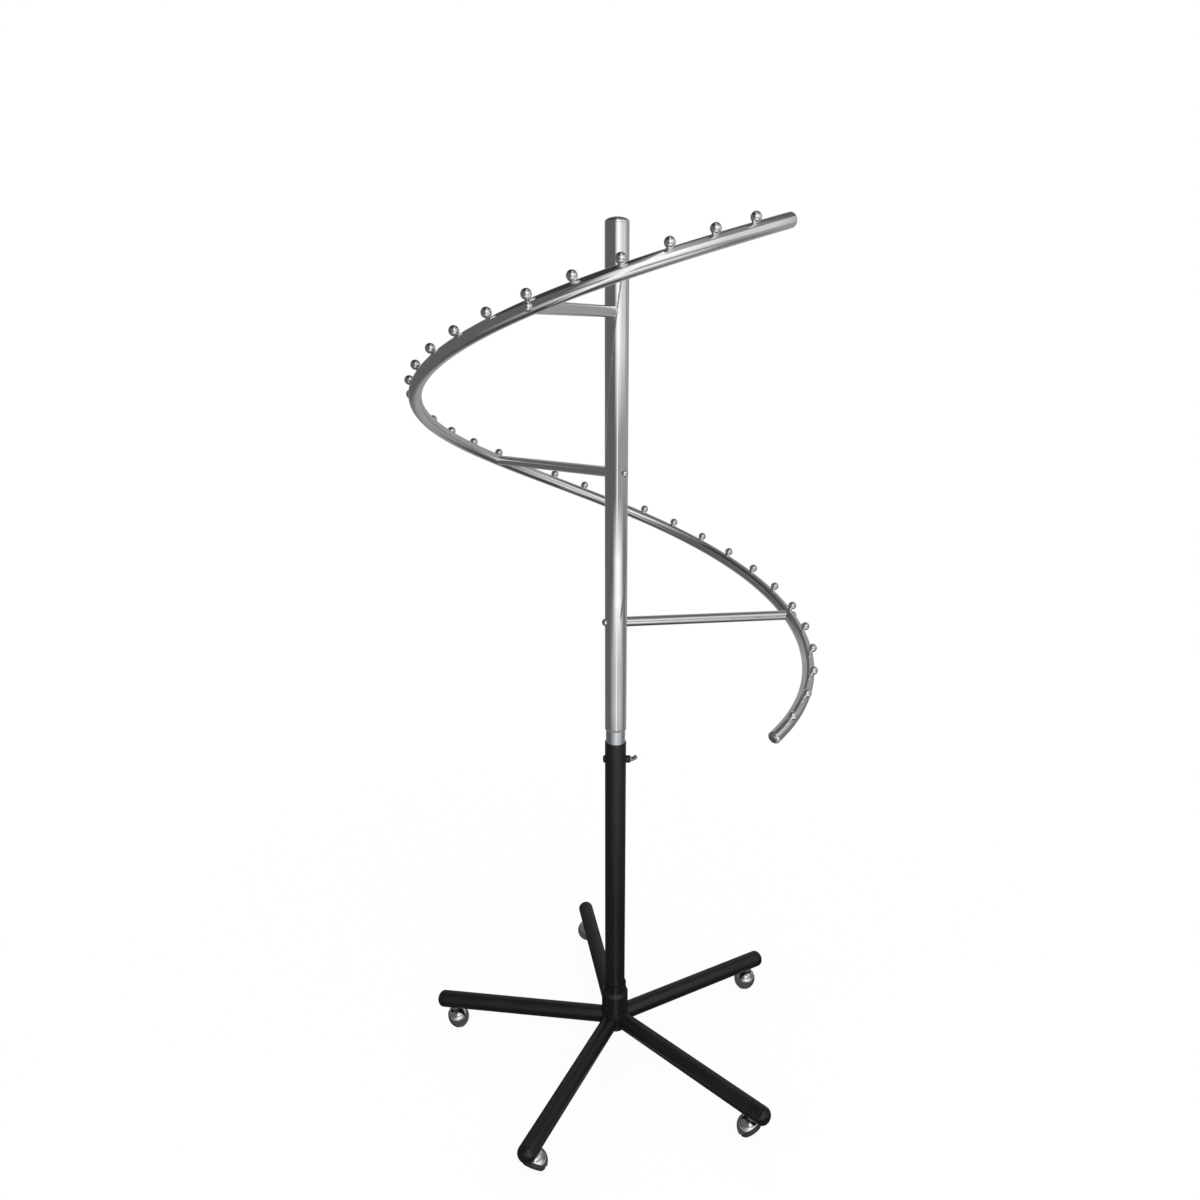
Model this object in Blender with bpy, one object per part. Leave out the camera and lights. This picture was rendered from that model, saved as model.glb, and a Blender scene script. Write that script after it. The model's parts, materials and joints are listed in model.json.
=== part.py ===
"""Spiral garment rack: a chromed rail with ball stops winds once round a turning mast.

The mast turns on a post, the post slides in a black base tube, and five legs roll on tilted-wheel
casters. Metres, +Z up, origin on the mast's axis at floor level, -Y towards the front.
"""

import math

import bmesh
import bpy
from mathutils import Matrix, Vector

MM = 0.001
DEG = math.pi / 180.0

# Fits between pieces
SEAT_GAP = 0.3 * MM
BUSH_GAP = 0.25 * MM
HOLE_GAP = 0.4 * MM

# Tilted caster wheel and its hood
WHEEL_RADIUS = 23.0 * MM
WHEEL_TILT = 45.0 * DEG
WHEEL_INNER_WIDTH = 6.0 * MM
WHEEL_TREAD_EDGE = 2.5 * MM
WHEEL_INNER_CHAMFER = 2.0 * MM
TREAD_FLAT = 5.5 * MM
WHEEL_CROWN = 2.2 * MM
HOOD_RADIUS = 25.0 * MM
HOOD_WALL = 1.4 * MM
HOOD_SETBACK = 4.0 * MM
AXLE_RADIUS = 3.0 * MM
AXLE_DEPTH = 3.5 * MM
AXLE_SEAT_RADIUS = 4.5 * MM
STEM_RADIUS = 4.0 * MM
STEM_LENGTH = 28.0 * MM
STEM_OFFSET = 4.0 * MM
SWIVEL_BOSS_RADIUS = 6.0 * MM
SWIVEL_BOSS_RISE = 0.8 * MM
SWIVEL_BOSS_DEPTH = 3.5 * MM
SOCKET_FLANGE_RADIUS = 9.0 * MM
SOCKET_FLANGE = 1.2 * MM
SOCKET_WALL = 2.2 * MM

# Five-legged base
LEG_COUNT = 5
LEG_OD = 35.0 * MM
LEG_WALL = 1.5 * MM
LEG_REACH = 381.0 * MM
LEG_AZIMUTH = 173.4 * DEG
CASTER_INSET = 22.0 * MM
PLUG_DOME = 15.5 * MM
PLUG_SPIGOT = 10.0 * MM
HUB_OD = 56.0 * MM
HUB_BELOW_LEGS = 22.0 * MM
HUB_ABOVE_LEGS = 62.0 * MM
HUB_FLOOR = 5.0 * MM
HUB_CHAMFER = 2.0 * MM
COLLAR_LIP_OD = 48.0 * MM
COLLAR_SHOULDER = 9.0 * MM
COLLAR_LIP = 16.0 * MM
BASE_BOLT_RADIUS = 4.0 * MM
BASE_BOLT_HEAD_RADIUS = 7.5 * MM
BASE_BOLT_HEAD = 5.3 * MM
COLUMN_NUT_HEIGHT = 20.0 * MM

# Column: lower tube, sliding post and turning mast
COLUMN_OD = 42.0 * MM
LOWER_TUBE_WALL = 1.5 * MM
LOWER_TUBE_LENGTH = 669.0 * MM
POST_OD = 38.0 * MM
POST_WALL = 2.0 * MM
POST_LENGTH = 775.0 * MM
POST_IN_MAST = 175.0 * MM
NECK = 28.0 * MM
MAST_OD = 42.0 * MM
MAST_WALL = 1.0 * MM
MAST_LENGTH = 917.0 * MM
CAP_DOME = 8.0 * MM
CAP_LIP = 2.0 * MM
CAP_SPIGOT = 18.0 * MM
CAP_WALL = 2.2 * MM
BUSH_LENGTH = 25.0 * MM
BUSH_FLANGE = 3.0 * MM
UPPER_BUSH_DROP = 5.0 * MM
POST_PLUG_SPIGOT = 20.0 * MM
POST_PLUG_LIP = 5.0 * MM
THRUST_BALL_RADIUS = 6.0 * MM
THRUST_BALL_RISE = 3.0 * MM
BEARING_PLUG = 14.0 * MM

# Height clamp at the lower tube's rim
CLAMP_DROP = 38.0 * MM
CLAMP_SCREW_RADIUS = 4.0 * MM
CLAMP_BOSS_RADIUS = 7.5 * MM
CLAMP_BOSS_LENGTH = 8.0 * MM
LEVER_HEAD_RADIUS = 6.0 * MM
LEVER_HEAD_LENGTH = 5.0 * MM
LEVER_RADIUS = 4.0 * MM
LEVER_BEND = 8.0 * MM
LEVER_TIP = 2.0 * MM
LEVER_LENGTH = 24.0 * MM
LEVER_RISE = 40.0 * DEG
STEADY_HEAD_RADIUS = 7.5 * MM
STEADY_HEAD_DOME = 4.0 * MM
STEADY_SHANK_RADIUS = 3.0 * MM

# Spiral rail, measured along its turn from the upper end; heights are above the mast's lower end
RAIL_OD = 22.2 * MM
RAIL_WALL = 1.5 * MM
RAIL_START = -44.0 * DEG
RAIL_TURN = 359.2 * DEG
RAIL_UPPER_RADIUS = 341.0 * MM
RAIL_LOWER_RADIUS = 362.0 * MM
RAIL_UPPER_HEIGHT = 893.0 * MM
RAIL_LOWER_HEIGHT = 96.0 * MM
RAIL_EASE = 0.183
RAIL_PLUG_DOME = 5.0 * MM
RAIL_PLUG_SPIGOT = 10.0 * MM

# Ball stops welded along the rail, on studs that stand up and lean outwards
BALL_RADIUS = 8.0 * MM
BALL_STANDOFF = 19.6 * MM
BALL_LEAN = 27.0 * DEG
BALL_STEM_RADIUS = 3.0 * MM
BALL_WELD = 1.2 * MM
BALL_COUNT = 33
BALL_FIRST = 13.4 * DEG
BALL_STEP = 10.6 * DEG

# Arms and their dome-head bolts: each arm's place along the rail and its height on the mast
UPPER_ARM_TURN = 66.0 * DEG
UPPER_ARM_HEIGHT = 776.0 * MM
MIDDLE_ARM_TURN = 181.5 * DEG
MIDDLE_ARM_HEIGHT = 499.5 * MM
LOWER_ARM_TURN = 300.0 * DEG
LOWER_ARM_HEIGHT = 216.5 * MM
ARM_PLACES = {
    "upper": (UPPER_ARM_TURN, UPPER_ARM_HEIGHT),
    "middle": (MIDDLE_ARM_TURN, MIDDLE_ARM_HEIGHT),
    "lower": (LOWER_ARM_TURN, LOWER_ARM_HEIGHT),
}
ARM_OD = 19.0 * MM
ARM_WALL = 1.5 * MM
ARM_END = 14.0 * MM
BOLT_RADIUS = 3.0 * MM
BOLT_HEAD_RADIUS = 7.0 * MM
BOLT_HEAD_DOME = 6.0 * MM
BOLT_GRIP = 10.0 * MM

# Facets round each kind of piece, and the angle beyond which an edge stays sharp
SMOOTH_ANGLE = 35.0 * DEG
HEX_SIDES = 6
COLUMN_SIDES = 24
LEG_SIDES = 16
WHEEL_SIDES = 18
HOOD_SIDES = 14
ARM_SIDES = 16
RAIL_SIDES = 10
RAIL_RINGS = 72
SMALL_SIDES = 10
BALL_SIDES = 8
ARC_STEPS = 4
FACE_STEPS = 3

# Casters stand in from the ends of the legs
CASTER_REACH = LEG_REACH - CASTER_INSET

# Heights above the floor, stacked from the wheels upwards
FACET = math.cos(math.pi / WHEEL_SIDES)
TILT_SIN = math.sin(WHEEL_TILT)
TILT_COS = math.cos(WHEEL_TILT)
WHEEL_HEIGHT = WHEEL_TREAD_EDGE * TILT_SIN + WHEEL_RADIUS * FACET * TILT_COS
HOOD_HEIGHT = WHEEL_HEIGHT + HOOD_SETBACK * TILT_SIN
SWIVEL_TOP = HOOD_HEIGHT + HOOD_RADIUS + SWIVEL_BOSS_RISE
SOCKET_BOTTOM = SWIVEL_TOP + SEAT_GAP
LEG_HEIGHT = SOCKET_BOTTOM + SOCKET_FLANGE + SEAT_GAP + LEG_OD / 2
HUB_BOTTOM = LEG_HEIGHT - HUB_BELOW_LEGS
HUB_TOP = LEG_HEIGHT + HUB_ABOVE_LEGS
TUBE_BOTTOM = HUB_BOTTOM + HUB_FLOOR + SEAT_GAP
TUBE_TOP = TUBE_BOTTOM + LOWER_TUBE_LENGTH
CLAMP_HEIGHT = TUBE_TOP - CLAMP_DROP
MAST_BOTTOM = TUBE_TOP + NECK + BUSH_FLANGE + SEAT_GAP
MAST_TOP = MAST_BOTTOM + MAST_LENGTH
POST_TOP = MAST_BOTTOM + POST_IN_MAST
POST_BOTTOM = POST_TOP - POST_LENGTH

# Radii that several pieces share
HUB_RADIUS = HUB_OD / 2
COLUMN_RADIUS = COLUMN_OD / 2
POST_RADIUS = POST_OD / 2
MAST_RADIUS = MAST_OD / 2
MAST_BORE = MAST_RADIUS - MAST_WALL
RAIL_RADIUS = RAIL_OD / 2


def clear_scene():
    """Remove whatever the file holds before the rack is built."""
    for leftover in list(bpy.data.objects):
        bpy.data.objects.remove(leftover, do_unlink=True)


def finish(name, colour, roughness, metallic):
    """Return a plain Principled material."""
    material = bpy.data.materials.new(name)
    material.use_nodes = True
    shader = material.node_tree.nodes["Principled BSDF"]
    shader.inputs["Base Color"].default_value = (*colour, 1.0)
    shader.inputs["Roughness"].default_value = roughness
    shader.inputs["Metallic"].default_value = metallic
    return material


def empty(name, parent=None, matrix=None):
    """Return an empty that carries the pieces of one moving body."""
    holder = bpy.data.objects.new(name, None)
    bpy.context.scene.collection.objects.link(holder)
    holder.parent = parent
    holder.matrix_basis = matrix or Matrix.Identity(4)
    return holder


def piece(name, shape, material, parent, matrix=None):
    """Turn a bmesh into a named, smooth-shaded object under its parent."""
    bmesh.ops.remove_doubles(shape, verts=shape.verts, dist=0.001 * MM)
    bmesh.ops.recalc_face_normals(shape, faces=shape.faces)
    mesh = bpy.data.meshes.new(name)
    shape.to_mesh(mesh)
    shape.free()
    mesh.shade_smooth()
    mesh.set_sharp_from_angle(angle=SMOOTH_ANGLE)
    if material:
        mesh.materials.append(material)
    obj = bpy.data.objects.new(name, mesh)
    bpy.context.scene.collection.objects.link(obj)
    obj.parent = parent
    obj.matrix_basis = matrix or Matrix.Identity(4)
    return obj


def combine(target, name, shape, operation, matrix=None):
    """Cut a shape from a piece, or weld it on, with a Boolean that stays on the piece."""
    tool = piece(name, shape, None, target.parent, matrix or target.matrix_basis.copy())
    tool.hide_render = True
    tool.display_type = "WIRE"
    modifier = target.modifiers.new(name, "BOOLEAN")
    modifier.operation = operation
    modifier.solver = "EXACT"
    modifier.object = tool


def facing(direction, up=Vector((0, 0, 1)), at=Vector((0, 0, 0))):
    """Return a matrix whose local Z looks along direction and whose local Y leans towards up."""
    z_axis = Vector(direction).normalized()
    x_axis = Vector(up).cross(z_axis).normalized()
    y_axis = z_axis.cross(x_axis)
    turn = Matrix((x_axis, y_axis, z_axis)).transposed().to_4x4()
    return Matrix.Translation(at) @ turn


def radial(angle, at=Vector((0, 0, 0))):
    """Return a matrix that looks out from the mast's axis at an angle, with local Y up."""
    return facing((math.cos(angle), math.sin(angle), 0.0), at=at)


def add_ring(shape, points):
    """Add one loop of vertices."""
    return [shape.verts.new(point) for point in points]


def join_rings(shape, first, second):
    """Bridge two loops that have as many vertices as each other."""
    count = len(first)
    for i in range(count):
        j = (i + 1) % count
        shape.faces.new((first[i], first[j], second[j], second[i]))


def turned(profile, sides, closed=False, phase=0.0, shape=None):
    """Turn a profile of (radius, place) points about local Z.

    A place is a height, or a function of local x and y where an end is cut to fit a round piece.
    A closed profile makes a ring; an open one starts and ends on the axis.
    """
    shape = shape or bmesh.new()
    rings = []
    for radius, place in profile:
        if radius == 0.0:
            rings.append([shape.verts.new((0.0, 0.0, place(0.0, 0.0) if callable(place) else place))])
            continue
        points = []
        for k in range(sides):
            angle = phase + 2.0 * math.pi * k / sides
            x = radius * math.cos(angle)
            y = radius * math.sin(angle)
            points.append((x, y, place(x, y) if callable(place) else place))
        rings.append(add_ring(shape, points))
    pairs = list(zip(rings, rings[1:]))
    if closed:
        pairs.append((rings[-1], rings[0]))
    for first, second in pairs:
        if len(first) == 1:
            fan(shape, first[0], second)
        elif len(second) == 1:
            fan(shape, second[0], first)
        else:
            join_rings(shape, first, second)
    return shape


def fan(shape, tip, ring):
    """Close a loop with triangles that meet at a tip."""
    for i, vertex in enumerate(ring):
        shape.faces.new((tip, vertex, ring[(i + 1) % len(ring)]))


def rod(radius, low, high, sides=SMALL_SIDES):
    """Return a plain solid rod along local Z."""
    return turned([(0.0, high), (radius, high), (radius, low), (0.0, low)], sides)


def dome(radius, rise, base, steps=ARC_STEPS):
    """Return the points of a low dome, from its crown down to its rim at height base."""
    points = [(0.0, base + rise)]
    for k in range(1, steps + 1):
        angle = 0.5 * math.pi * k / steps
        points.append((radius * math.sin(angle), base + rise * math.cos(angle)))
    return points


def circle(centre, x_axis, y_axis, radius, sides):
    """Return a circle's points about a centre, with a facet rather than a corner on each axis."""
    points = []
    for k in range(sides):
        angle = 2.0 * math.pi * (k + 0.5) / sides
        points.append(centre + radius * (math.cos(angle) * x_axis + math.sin(angle) * y_axis))
    return points


def saddle(radius):
    """Return the place of a tube's end where it meets an upright cylinder of this radius."""
    return lambda x, y: math.sqrt(max((radius + SEAT_GAP) ** 2 - x * x, 0.0))


def rail_share(angle):
    """Return how far along the rail an angle from its upper end lies, from 0 to 1."""
    return angle / RAIL_TURN


def rail_point(angle):
    """Return the rail's centre at an angle of its turn; its slope eases off at both ends."""
    share = rail_share(angle)
    radius = RAIL_UPPER_RADIUS + (RAIL_LOWER_RADIUS - RAIL_UPPER_RADIUS) * share
    swing = 2.0 * share - 1.0
    middle = MAST_BOTTOM + (RAIL_UPPER_HEIGHT + RAIL_LOWER_HEIGHT) / 2
    half_drop = (RAIL_UPPER_HEIGHT - RAIL_LOWER_HEIGHT) / 2
    height = middle - half_drop * ((1.0 + RAIL_EASE) * swing - RAIL_EASE * swing**3)
    azimuth = RAIL_START - angle
    return Vector((radius * math.cos(azimuth), radius * math.sin(azimuth), height))


def rail_frame(angle):
    """Return the rail's centre, its tangent downhill, and its outward and upward normals."""
    step = 0.01 * DEG
    centre = rail_point(angle)
    tangent = (rail_point(angle + step) - rail_point(angle - step)).normalized()
    outward = Vector((centre.x, centre.y, 0.0))
    outward = (outward - tangent * outward.dot(tangent)).normalized()
    return centre, tangent, outward, tangent.cross(outward)


def build_casters(leg, number, looks):
    """Make one leg's socket, swivelling hood, axle and wheel."""
    swivel = empty(f"caster_swivel_{number}", leg, Matrix.Translation((CASTER_REACH, 0.0, 0.0)))
    stem_top = SWIVEL_TOP + STEM_LENGTH
    sleeve = STEM_RADIUS + SEAT_GAP + SOCKET_WALL
    socket_profile = [
        (0.0, stem_top + SEAT_GAP + SOCKET_WALL),
        (sleeve, stem_top + SEAT_GAP + SOCKET_WALL),
        (sleeve, SOCKET_BOTTOM + SOCKET_FLANGE),
        (SOCKET_FLANGE_RADIUS, SOCKET_BOTTOM + SOCKET_FLANGE),
        (SOCKET_FLANGE_RADIUS, SOCKET_BOTTOM),
        (STEM_RADIUS + SEAT_GAP, SOCKET_BOTTOM),
        (STEM_RADIUS + SEAT_GAP, stem_top + SEAT_GAP),
        (0.0, stem_top + SEAT_GAP),
    ]
    at_stem = Matrix.Translation((CASTER_REACH, 0.0, 0.0))
    piece(f"caster_socket_{number}", turned(socket_profile, SMALL_SIDES), looks["nylon"], leg, at_stem)

    # The wheel's axis looks out along the leg and down; its hood's dome looks back and up
    axis = Vector((TILT_COS, 0.0, -TILT_SIN))
    downhill = Vector((-TILT_SIN, 0.0, -TILT_COS))
    hood_centre = Vector((-STEM_OFFSET, 0.0, HOOD_HEIGHT))
    wheel_centre = hood_centre + HOOD_SETBACK * axis
    turn = Matrix((downhill, axis.cross(downhill), axis)).transposed().to_4x4()

    inner = HOOD_RADIUS - HOOD_WALL
    seat = -math.sqrt(inner**2 - AXLE_SEAT_RADIUS**2)
    profile = []
    for k in range(ARC_STEPS + 1):
        angle = 0.5 * math.pi * k / ARC_STEPS
        profile.append((HOOD_RADIUS * math.sin(angle), -HOOD_RADIUS * math.cos(angle)))
    seat_angle = math.asin(AXLE_SEAT_RADIUS / inner)
    for k in range(ARC_STEPS + 1):
        angle = 0.5 * math.pi + (seat_angle - 0.5 * math.pi) * k / ARC_STEPS
        profile.append((inner * math.sin(angle), -inner * math.cos(angle)))
    profile.append((0.0, seat))
    hood_place = Matrix.Translation(hood_centre) @ turn
    hood = piece(f"caster_hood_{number}", turned(profile, HOOD_SIDES), looks["chrome"], swivel, hood_place)
    stem_profile = [
        (0.0, stem_top),
        (STEM_RADIUS, stem_top),
        (STEM_RADIUS, SWIVEL_TOP),
        (SWIVEL_BOSS_RADIUS, SWIVEL_TOP),
        (SWIVEL_BOSS_RADIUS, HOOD_HEIGHT + HOOD_RADIUS - SWIVEL_BOSS_DEPTH),
        (0.0, HOOD_HEIGHT + HOOD_RADIUS - SWIVEL_BOSS_DEPTH),
    ]
    stem = turned(stem_profile, SMALL_SIDES)
    combine(hood, f"stem_{number}", stem, "UNION", Matrix.Identity(4))

    axle = rod(AXLE_RADIUS, seat + SEAT_GAP - HOOD_SETBACK, AXLE_DEPTH - SEAT_GAP, BALL_SIDES)
    spin = empty(f"wheel_spin_{number}", swivel, Matrix.Translation(wheel_centre) @ turn)
    piece(f"caster_axle_{number}", axle, looks["steel"], swivel, spin.matrix_basis)

    flat_rim = WHEEL_RADIUS - TREAD_FLAT * TILT_SIN / FACET
    flat_edge = WHEEL_TREAD_EDGE + TREAD_FLAT * TILT_COS
    bore = AXLE_RADIUS + SEAT_GAP

    def crown(share):
        return flat_rim * share, flat_edge + WHEEL_CROWN * (1.0 - share**2)

    wheel_profile = [
        crown(0.0),
        crown(0.5),
        crown(1.0),
        (WHEEL_RADIUS, WHEEL_TREAD_EDGE),
        (WHEEL_RADIUS, WHEEL_INNER_CHAMFER - WHEEL_INNER_WIDTH),
        (WHEEL_RADIUS - WHEEL_INNER_CHAMFER, -WHEEL_INNER_WIDTH),
        (bore, -WHEEL_INNER_WIDTH),
        (bore, AXLE_DEPTH),
        (0.0, AXLE_DEPTH),
    ]
    wheel = turned(wheel_profile, WHEEL_SIDES, phase=math.pi / WHEEL_SIDES)
    piece(f"caster_wheel_{number}", wheel, looks["rubber"], spin)


def build_base(looks):
    """Make the hub with its collar, the lower tube and the five legs with their casters."""
    base = empty("base_frame")
    bolt_hole = BASE_BOLT_RADIUS + HOLE_GAP
    column_bore = COLUMN_RADIUS + SEAT_GAP
    floor_top = HUB_BOTTOM + HUB_FLOOR
    hub_profile = [
        (HUB_RADIUS, HUB_TOP),
        (HUB_RADIUS, HUB_BOTTOM + HUB_CHAMFER),
        (HUB_RADIUS - HUB_CHAMFER, HUB_BOTTOM),
        (bolt_hole, HUB_BOTTOM),
        (bolt_hole, floor_top),
        (column_bore, floor_top),
        (column_bore, HUB_TOP),
    ]
    hub = turned(hub_profile, COLUMN_SIDES, closed=True)
    piece("hub_sleeve", hub, looks["black_coat"], base)
    collar_bottom = HUB_TOP + SEAT_GAP
    collar_profile = [
        (COLLAR_LIP_OD / 2, collar_bottom + COLLAR_SHOULDER + COLLAR_LIP),
        (COLLAR_LIP_OD / 2, collar_bottom + COLLAR_SHOULDER),
        (HUB_RADIUS, collar_bottom),
        (column_bore, collar_bottom),
        (column_bore, collar_bottom + COLLAR_SHOULDER + COLLAR_LIP),
    ]
    piece("hub_collar", turned(collar_profile, COLUMN_SIDES, closed=True), looks["black_plastic"], base)

    bore = COLUMN_RADIUS - LOWER_TUBE_WALL
    tube_profile = [
        (COLUMN_RADIUS, TUBE_TOP),
        (COLUMN_RADIUS, TUBE_BOTTOM),
        (bore, TUBE_BOTTOM),
        (bore, TUBE_TOP),
    ]
    tube = turned(tube_profile, COLUMN_SIDES, closed=True)
    lower_tube = piece("lower_tube", tube, looks["black_coat"], base)
    nut_profile = [
        (bore - SEAT_GAP, TUBE_BOTTOM + COLUMN_NUT_HEIGHT),
        (bore - SEAT_GAP, TUBE_BOTTOM),
        (bolt_hole, TUBE_BOTTOM),
        (bolt_hole, TUBE_BOTTOM + COLUMN_NUT_HEIGHT),
    ]
    piece("column_nut", turned(nut_profile, COLUMN_SIDES, closed=True), looks["steel"], base)
    head_top = HUB_BOTTOM - SEAT_GAP
    shank_top = TUBE_BOTTOM + COLUMN_NUT_HEIGHT
    bolt = rod(BASE_BOLT_HEAD_RADIUS, head_top - BASE_BOLT_HEAD, head_top, HEX_SIDES)
    base_bolt = piece("base_bolt", bolt, looks["steel"], base)
    shank = rod(BASE_BOLT_RADIUS, head_top - BASE_BOLT_HEAD / 2, shank_top)
    combine(base_bolt, "base_bolt_shank", shank, "UNION")

    build_clamp(base, lower_tube, looks)
    for i in range(LEG_COUNT):
        azimuth = LEG_AZIMUTH + 2.0 * math.pi * i / LEG_COUNT
        build_leg(base, i + 1, azimuth, looks)
    return base


def build_leg(base, number, azimuth, looks):
    """Make one leg, mitred to its neighbours at the hub, with its plug and caster."""
    leg = empty(f"leg_frame_{number}", base, Matrix.Rotation(azimuth, 4, "Z"))
    outward = facing((1.0, 0.0, 0.0), at=Vector((0.0, 0.0, LEG_HEIGHT)))
    half_step = math.pi / LEG_COUNT
    at_hub = saddle(HUB_RADIUS)

    def inner_end(x, y):
        mitre = (SEAT_GAP / 2 + abs(x) * math.cos(half_step)) / math.sin(half_step)
        return max(at_hub(x, y), mitre)

    radius = LEG_OD / 2
    bore = radius - LEG_WALL
    profile = [(radius, LEG_REACH), (radius, inner_end), (bore, inner_end), (bore, LEG_REACH)]
    tube = piece(f"leg_{number}", turned(profile, LEG_SIDES, closed=True), looks["black_coat"], leg, outward)
    hole_radius = STEM_RADIUS + SEAT_GAP + SOCKET_WALL + HOLE_GAP
    hole = rod(hole_radius, LEG_HEIGHT - LEG_OD, LEG_HEIGHT)
    combine(tube, f"socket_hole_{number}", hole, "DIFFERENCE", Matrix.Translation((CASTER_REACH, 0.0, 0.0)))

    spigot = bore - SEAT_GAP
    plug_profile = dome(radius, PLUG_DOME, LEG_REACH + SEAT_GAP)
    plug_profile += [
        (spigot, LEG_REACH + SEAT_GAP),
        (spigot, LEG_REACH - PLUG_SPIGOT),
        (0.0, LEG_REACH - PLUG_SPIGOT),
    ]
    piece(f"leg_plug_{number}", turned(plug_profile, LEG_SIDES), looks["black_plastic"], leg, outward)
    build_casters(leg, number, looks)


def build_clamp(base, lower_tube, looks):
    """Make the clamp boss, its lever screw and the steady screw that faces it."""
    at_clamp = Vector((0.0, 0.0, CLAMP_HEIGHT))
    right = radial(0.0, at_clamp)
    left = radial(math.pi, at_clamp)
    screw_hole = CLAMP_SCREW_RADIUS + HOLE_GAP
    boss_end = COLUMN_RADIUS + CLAMP_BOSS_LENGTH
    meets_tube = saddle(COLUMN_RADIUS)
    boss_profile = [
        (CLAMP_BOSS_RADIUS, boss_end),
        (CLAMP_BOSS_RADIUS, meets_tube),
        (screw_hole, meets_tube),
        (screw_hole, boss_end),
    ]
    piece("clamp_boss", turned(boss_profile, ARM_SIDES, closed=True), looks["black_coat"], base, right)
    combine(lower_tube, "clamp_hole", rod(screw_hole, 0.0, 2 * COLUMN_RADIUS), "DIFFERENCE", right)

    tip = POST_RADIUS + SEAT_GAP
    steady_profile = dome(STEADY_HEAD_RADIUS, STEADY_HEAD_DOME, COLUMN_RADIUS + SEAT_GAP)
    steady_profile += [
        (STEADY_SHANK_RADIUS, COLUMN_RADIUS + SEAT_GAP),
        (STEADY_SHANK_RADIUS, tip),
        (0.0, tip),
    ]
    piece("steady_screw", turned(steady_profile, SMALL_SIDES), looks["black_plastic"], base, left)
    steady_hole = rod(STEADY_SHANK_RADIUS + HOLE_GAP, 0.0, 2 * COLUMN_RADIUS)
    combine(lower_tube, "steady_hole", steady_hole, "DIFFERENCE", left)

    clamp = empty("clamp_turn", base, right)
    lever_start = boss_end + SEAT_GAP
    piece("clamp_screw", rod(CLAMP_SCREW_RADIUS, tip, boss_end), looks["steel"], clamp)
    out = Vector((0.0, 0.0, 1.0))
    along = Vector((0.0, math.sin(LEVER_RISE), math.cos(LEVER_RISE)))
    elbow = out * (lever_start + LEVER_HEAD_LENGTH)
    rings = [
        (out * lever_start, out, LEVER_HEAD_RADIUS),
        (elbow, out, LEVER_HEAD_RADIUS),
        (elbow + along * LEVER_BEND / 2, (out + along).normalized(), LEVER_RADIUS),
        (elbow + along * LEVER_BEND, along, LEVER_RADIUS),
        (elbow + along * (LEVER_LENGTH - LEVER_TIP), along, LEVER_RADIUS),
        (elbow + along * LEVER_LENGTH, along, LEVER_RADIUS - LEVER_TIP),
    ]
    shape = bmesh.new()
    side = Vector((1.0, 0.0, 0.0))
    loops = [add_ring(shape, circle(c, side, d.cross(side), r, SMALL_SIDES)) for c, d, r in rings]
    for first, second in zip(loops, loops[1:]):
        join_rings(shape, first, second)
    shape.faces.new(loops[0])
    shape.faces.new(loops[-1])
    piece("clamp_lever", shape, looks["steel"], clamp)


def build_post(base, looks):
    """Make the sliding post, the plug in its top and the ball that the mast turns on."""
    post = empty("post_slide", base)
    bore = POST_RADIUS - POST_WALL
    profile = [
        (POST_RADIUS, POST_TOP),
        (POST_RADIUS, POST_BOTTOM),
        (bore, POST_BOTTOM),
        (bore, POST_TOP),
    ]
    piece("inner_post", turned(profile, COLUMN_SIDES, closed=True), looks["satin_chrome"], post)
    plug_top = POST_TOP + SEAT_GAP + POST_PLUG_LIP
    spigot = bore - SEAT_GAP
    plug_profile = ball_seat(plug_top, -1.0)
    plug_profile += [
        (POST_RADIUS, plug_top),
        (POST_RADIUS, POST_TOP + SEAT_GAP),
        (spigot, POST_TOP + SEAT_GAP),
        (spigot, POST_TOP - POST_PLUG_SPIGOT),
        (0.0, POST_TOP - POST_PLUG_SPIGOT),
    ]
    piece("post_plug", turned(plug_profile, COLUMN_SIDES), looks["nylon"], post)
    ball = bmesh.new()
    bmesh.ops.create_uvsphere(
        ball, u_segments=SMALL_SIDES, v_segments=BALL_SIDES, radius=THRUST_BALL_RADIUS
    )
    at_seat = Matrix.Translation((0.0, 0.0, plug_top + THRUST_BALL_RISE))
    piece("thrust_ball", ball, looks["steel"], post, at_seat)
    return post, plug_top + THRUST_BALL_RISE


def ball_seat(plane, sense):
    """Return a dish that holds the thrust ball, from its bottom out to a plane on one side of it."""
    radius = THRUST_BALL_RADIUS + SEAT_GAP
    edge = math.acos(THRUST_BALL_RISE / radius)
    centre = plane - sense * THRUST_BALL_RISE
    points = [(0.0, centre + sense * radius)]
    for k in range(1, ARC_STEPS + 1):
        angle = edge * k / ARC_STEPS
        points.append((radius * math.sin(angle), centre + sense * radius * math.cos(angle)))
    return points


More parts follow.
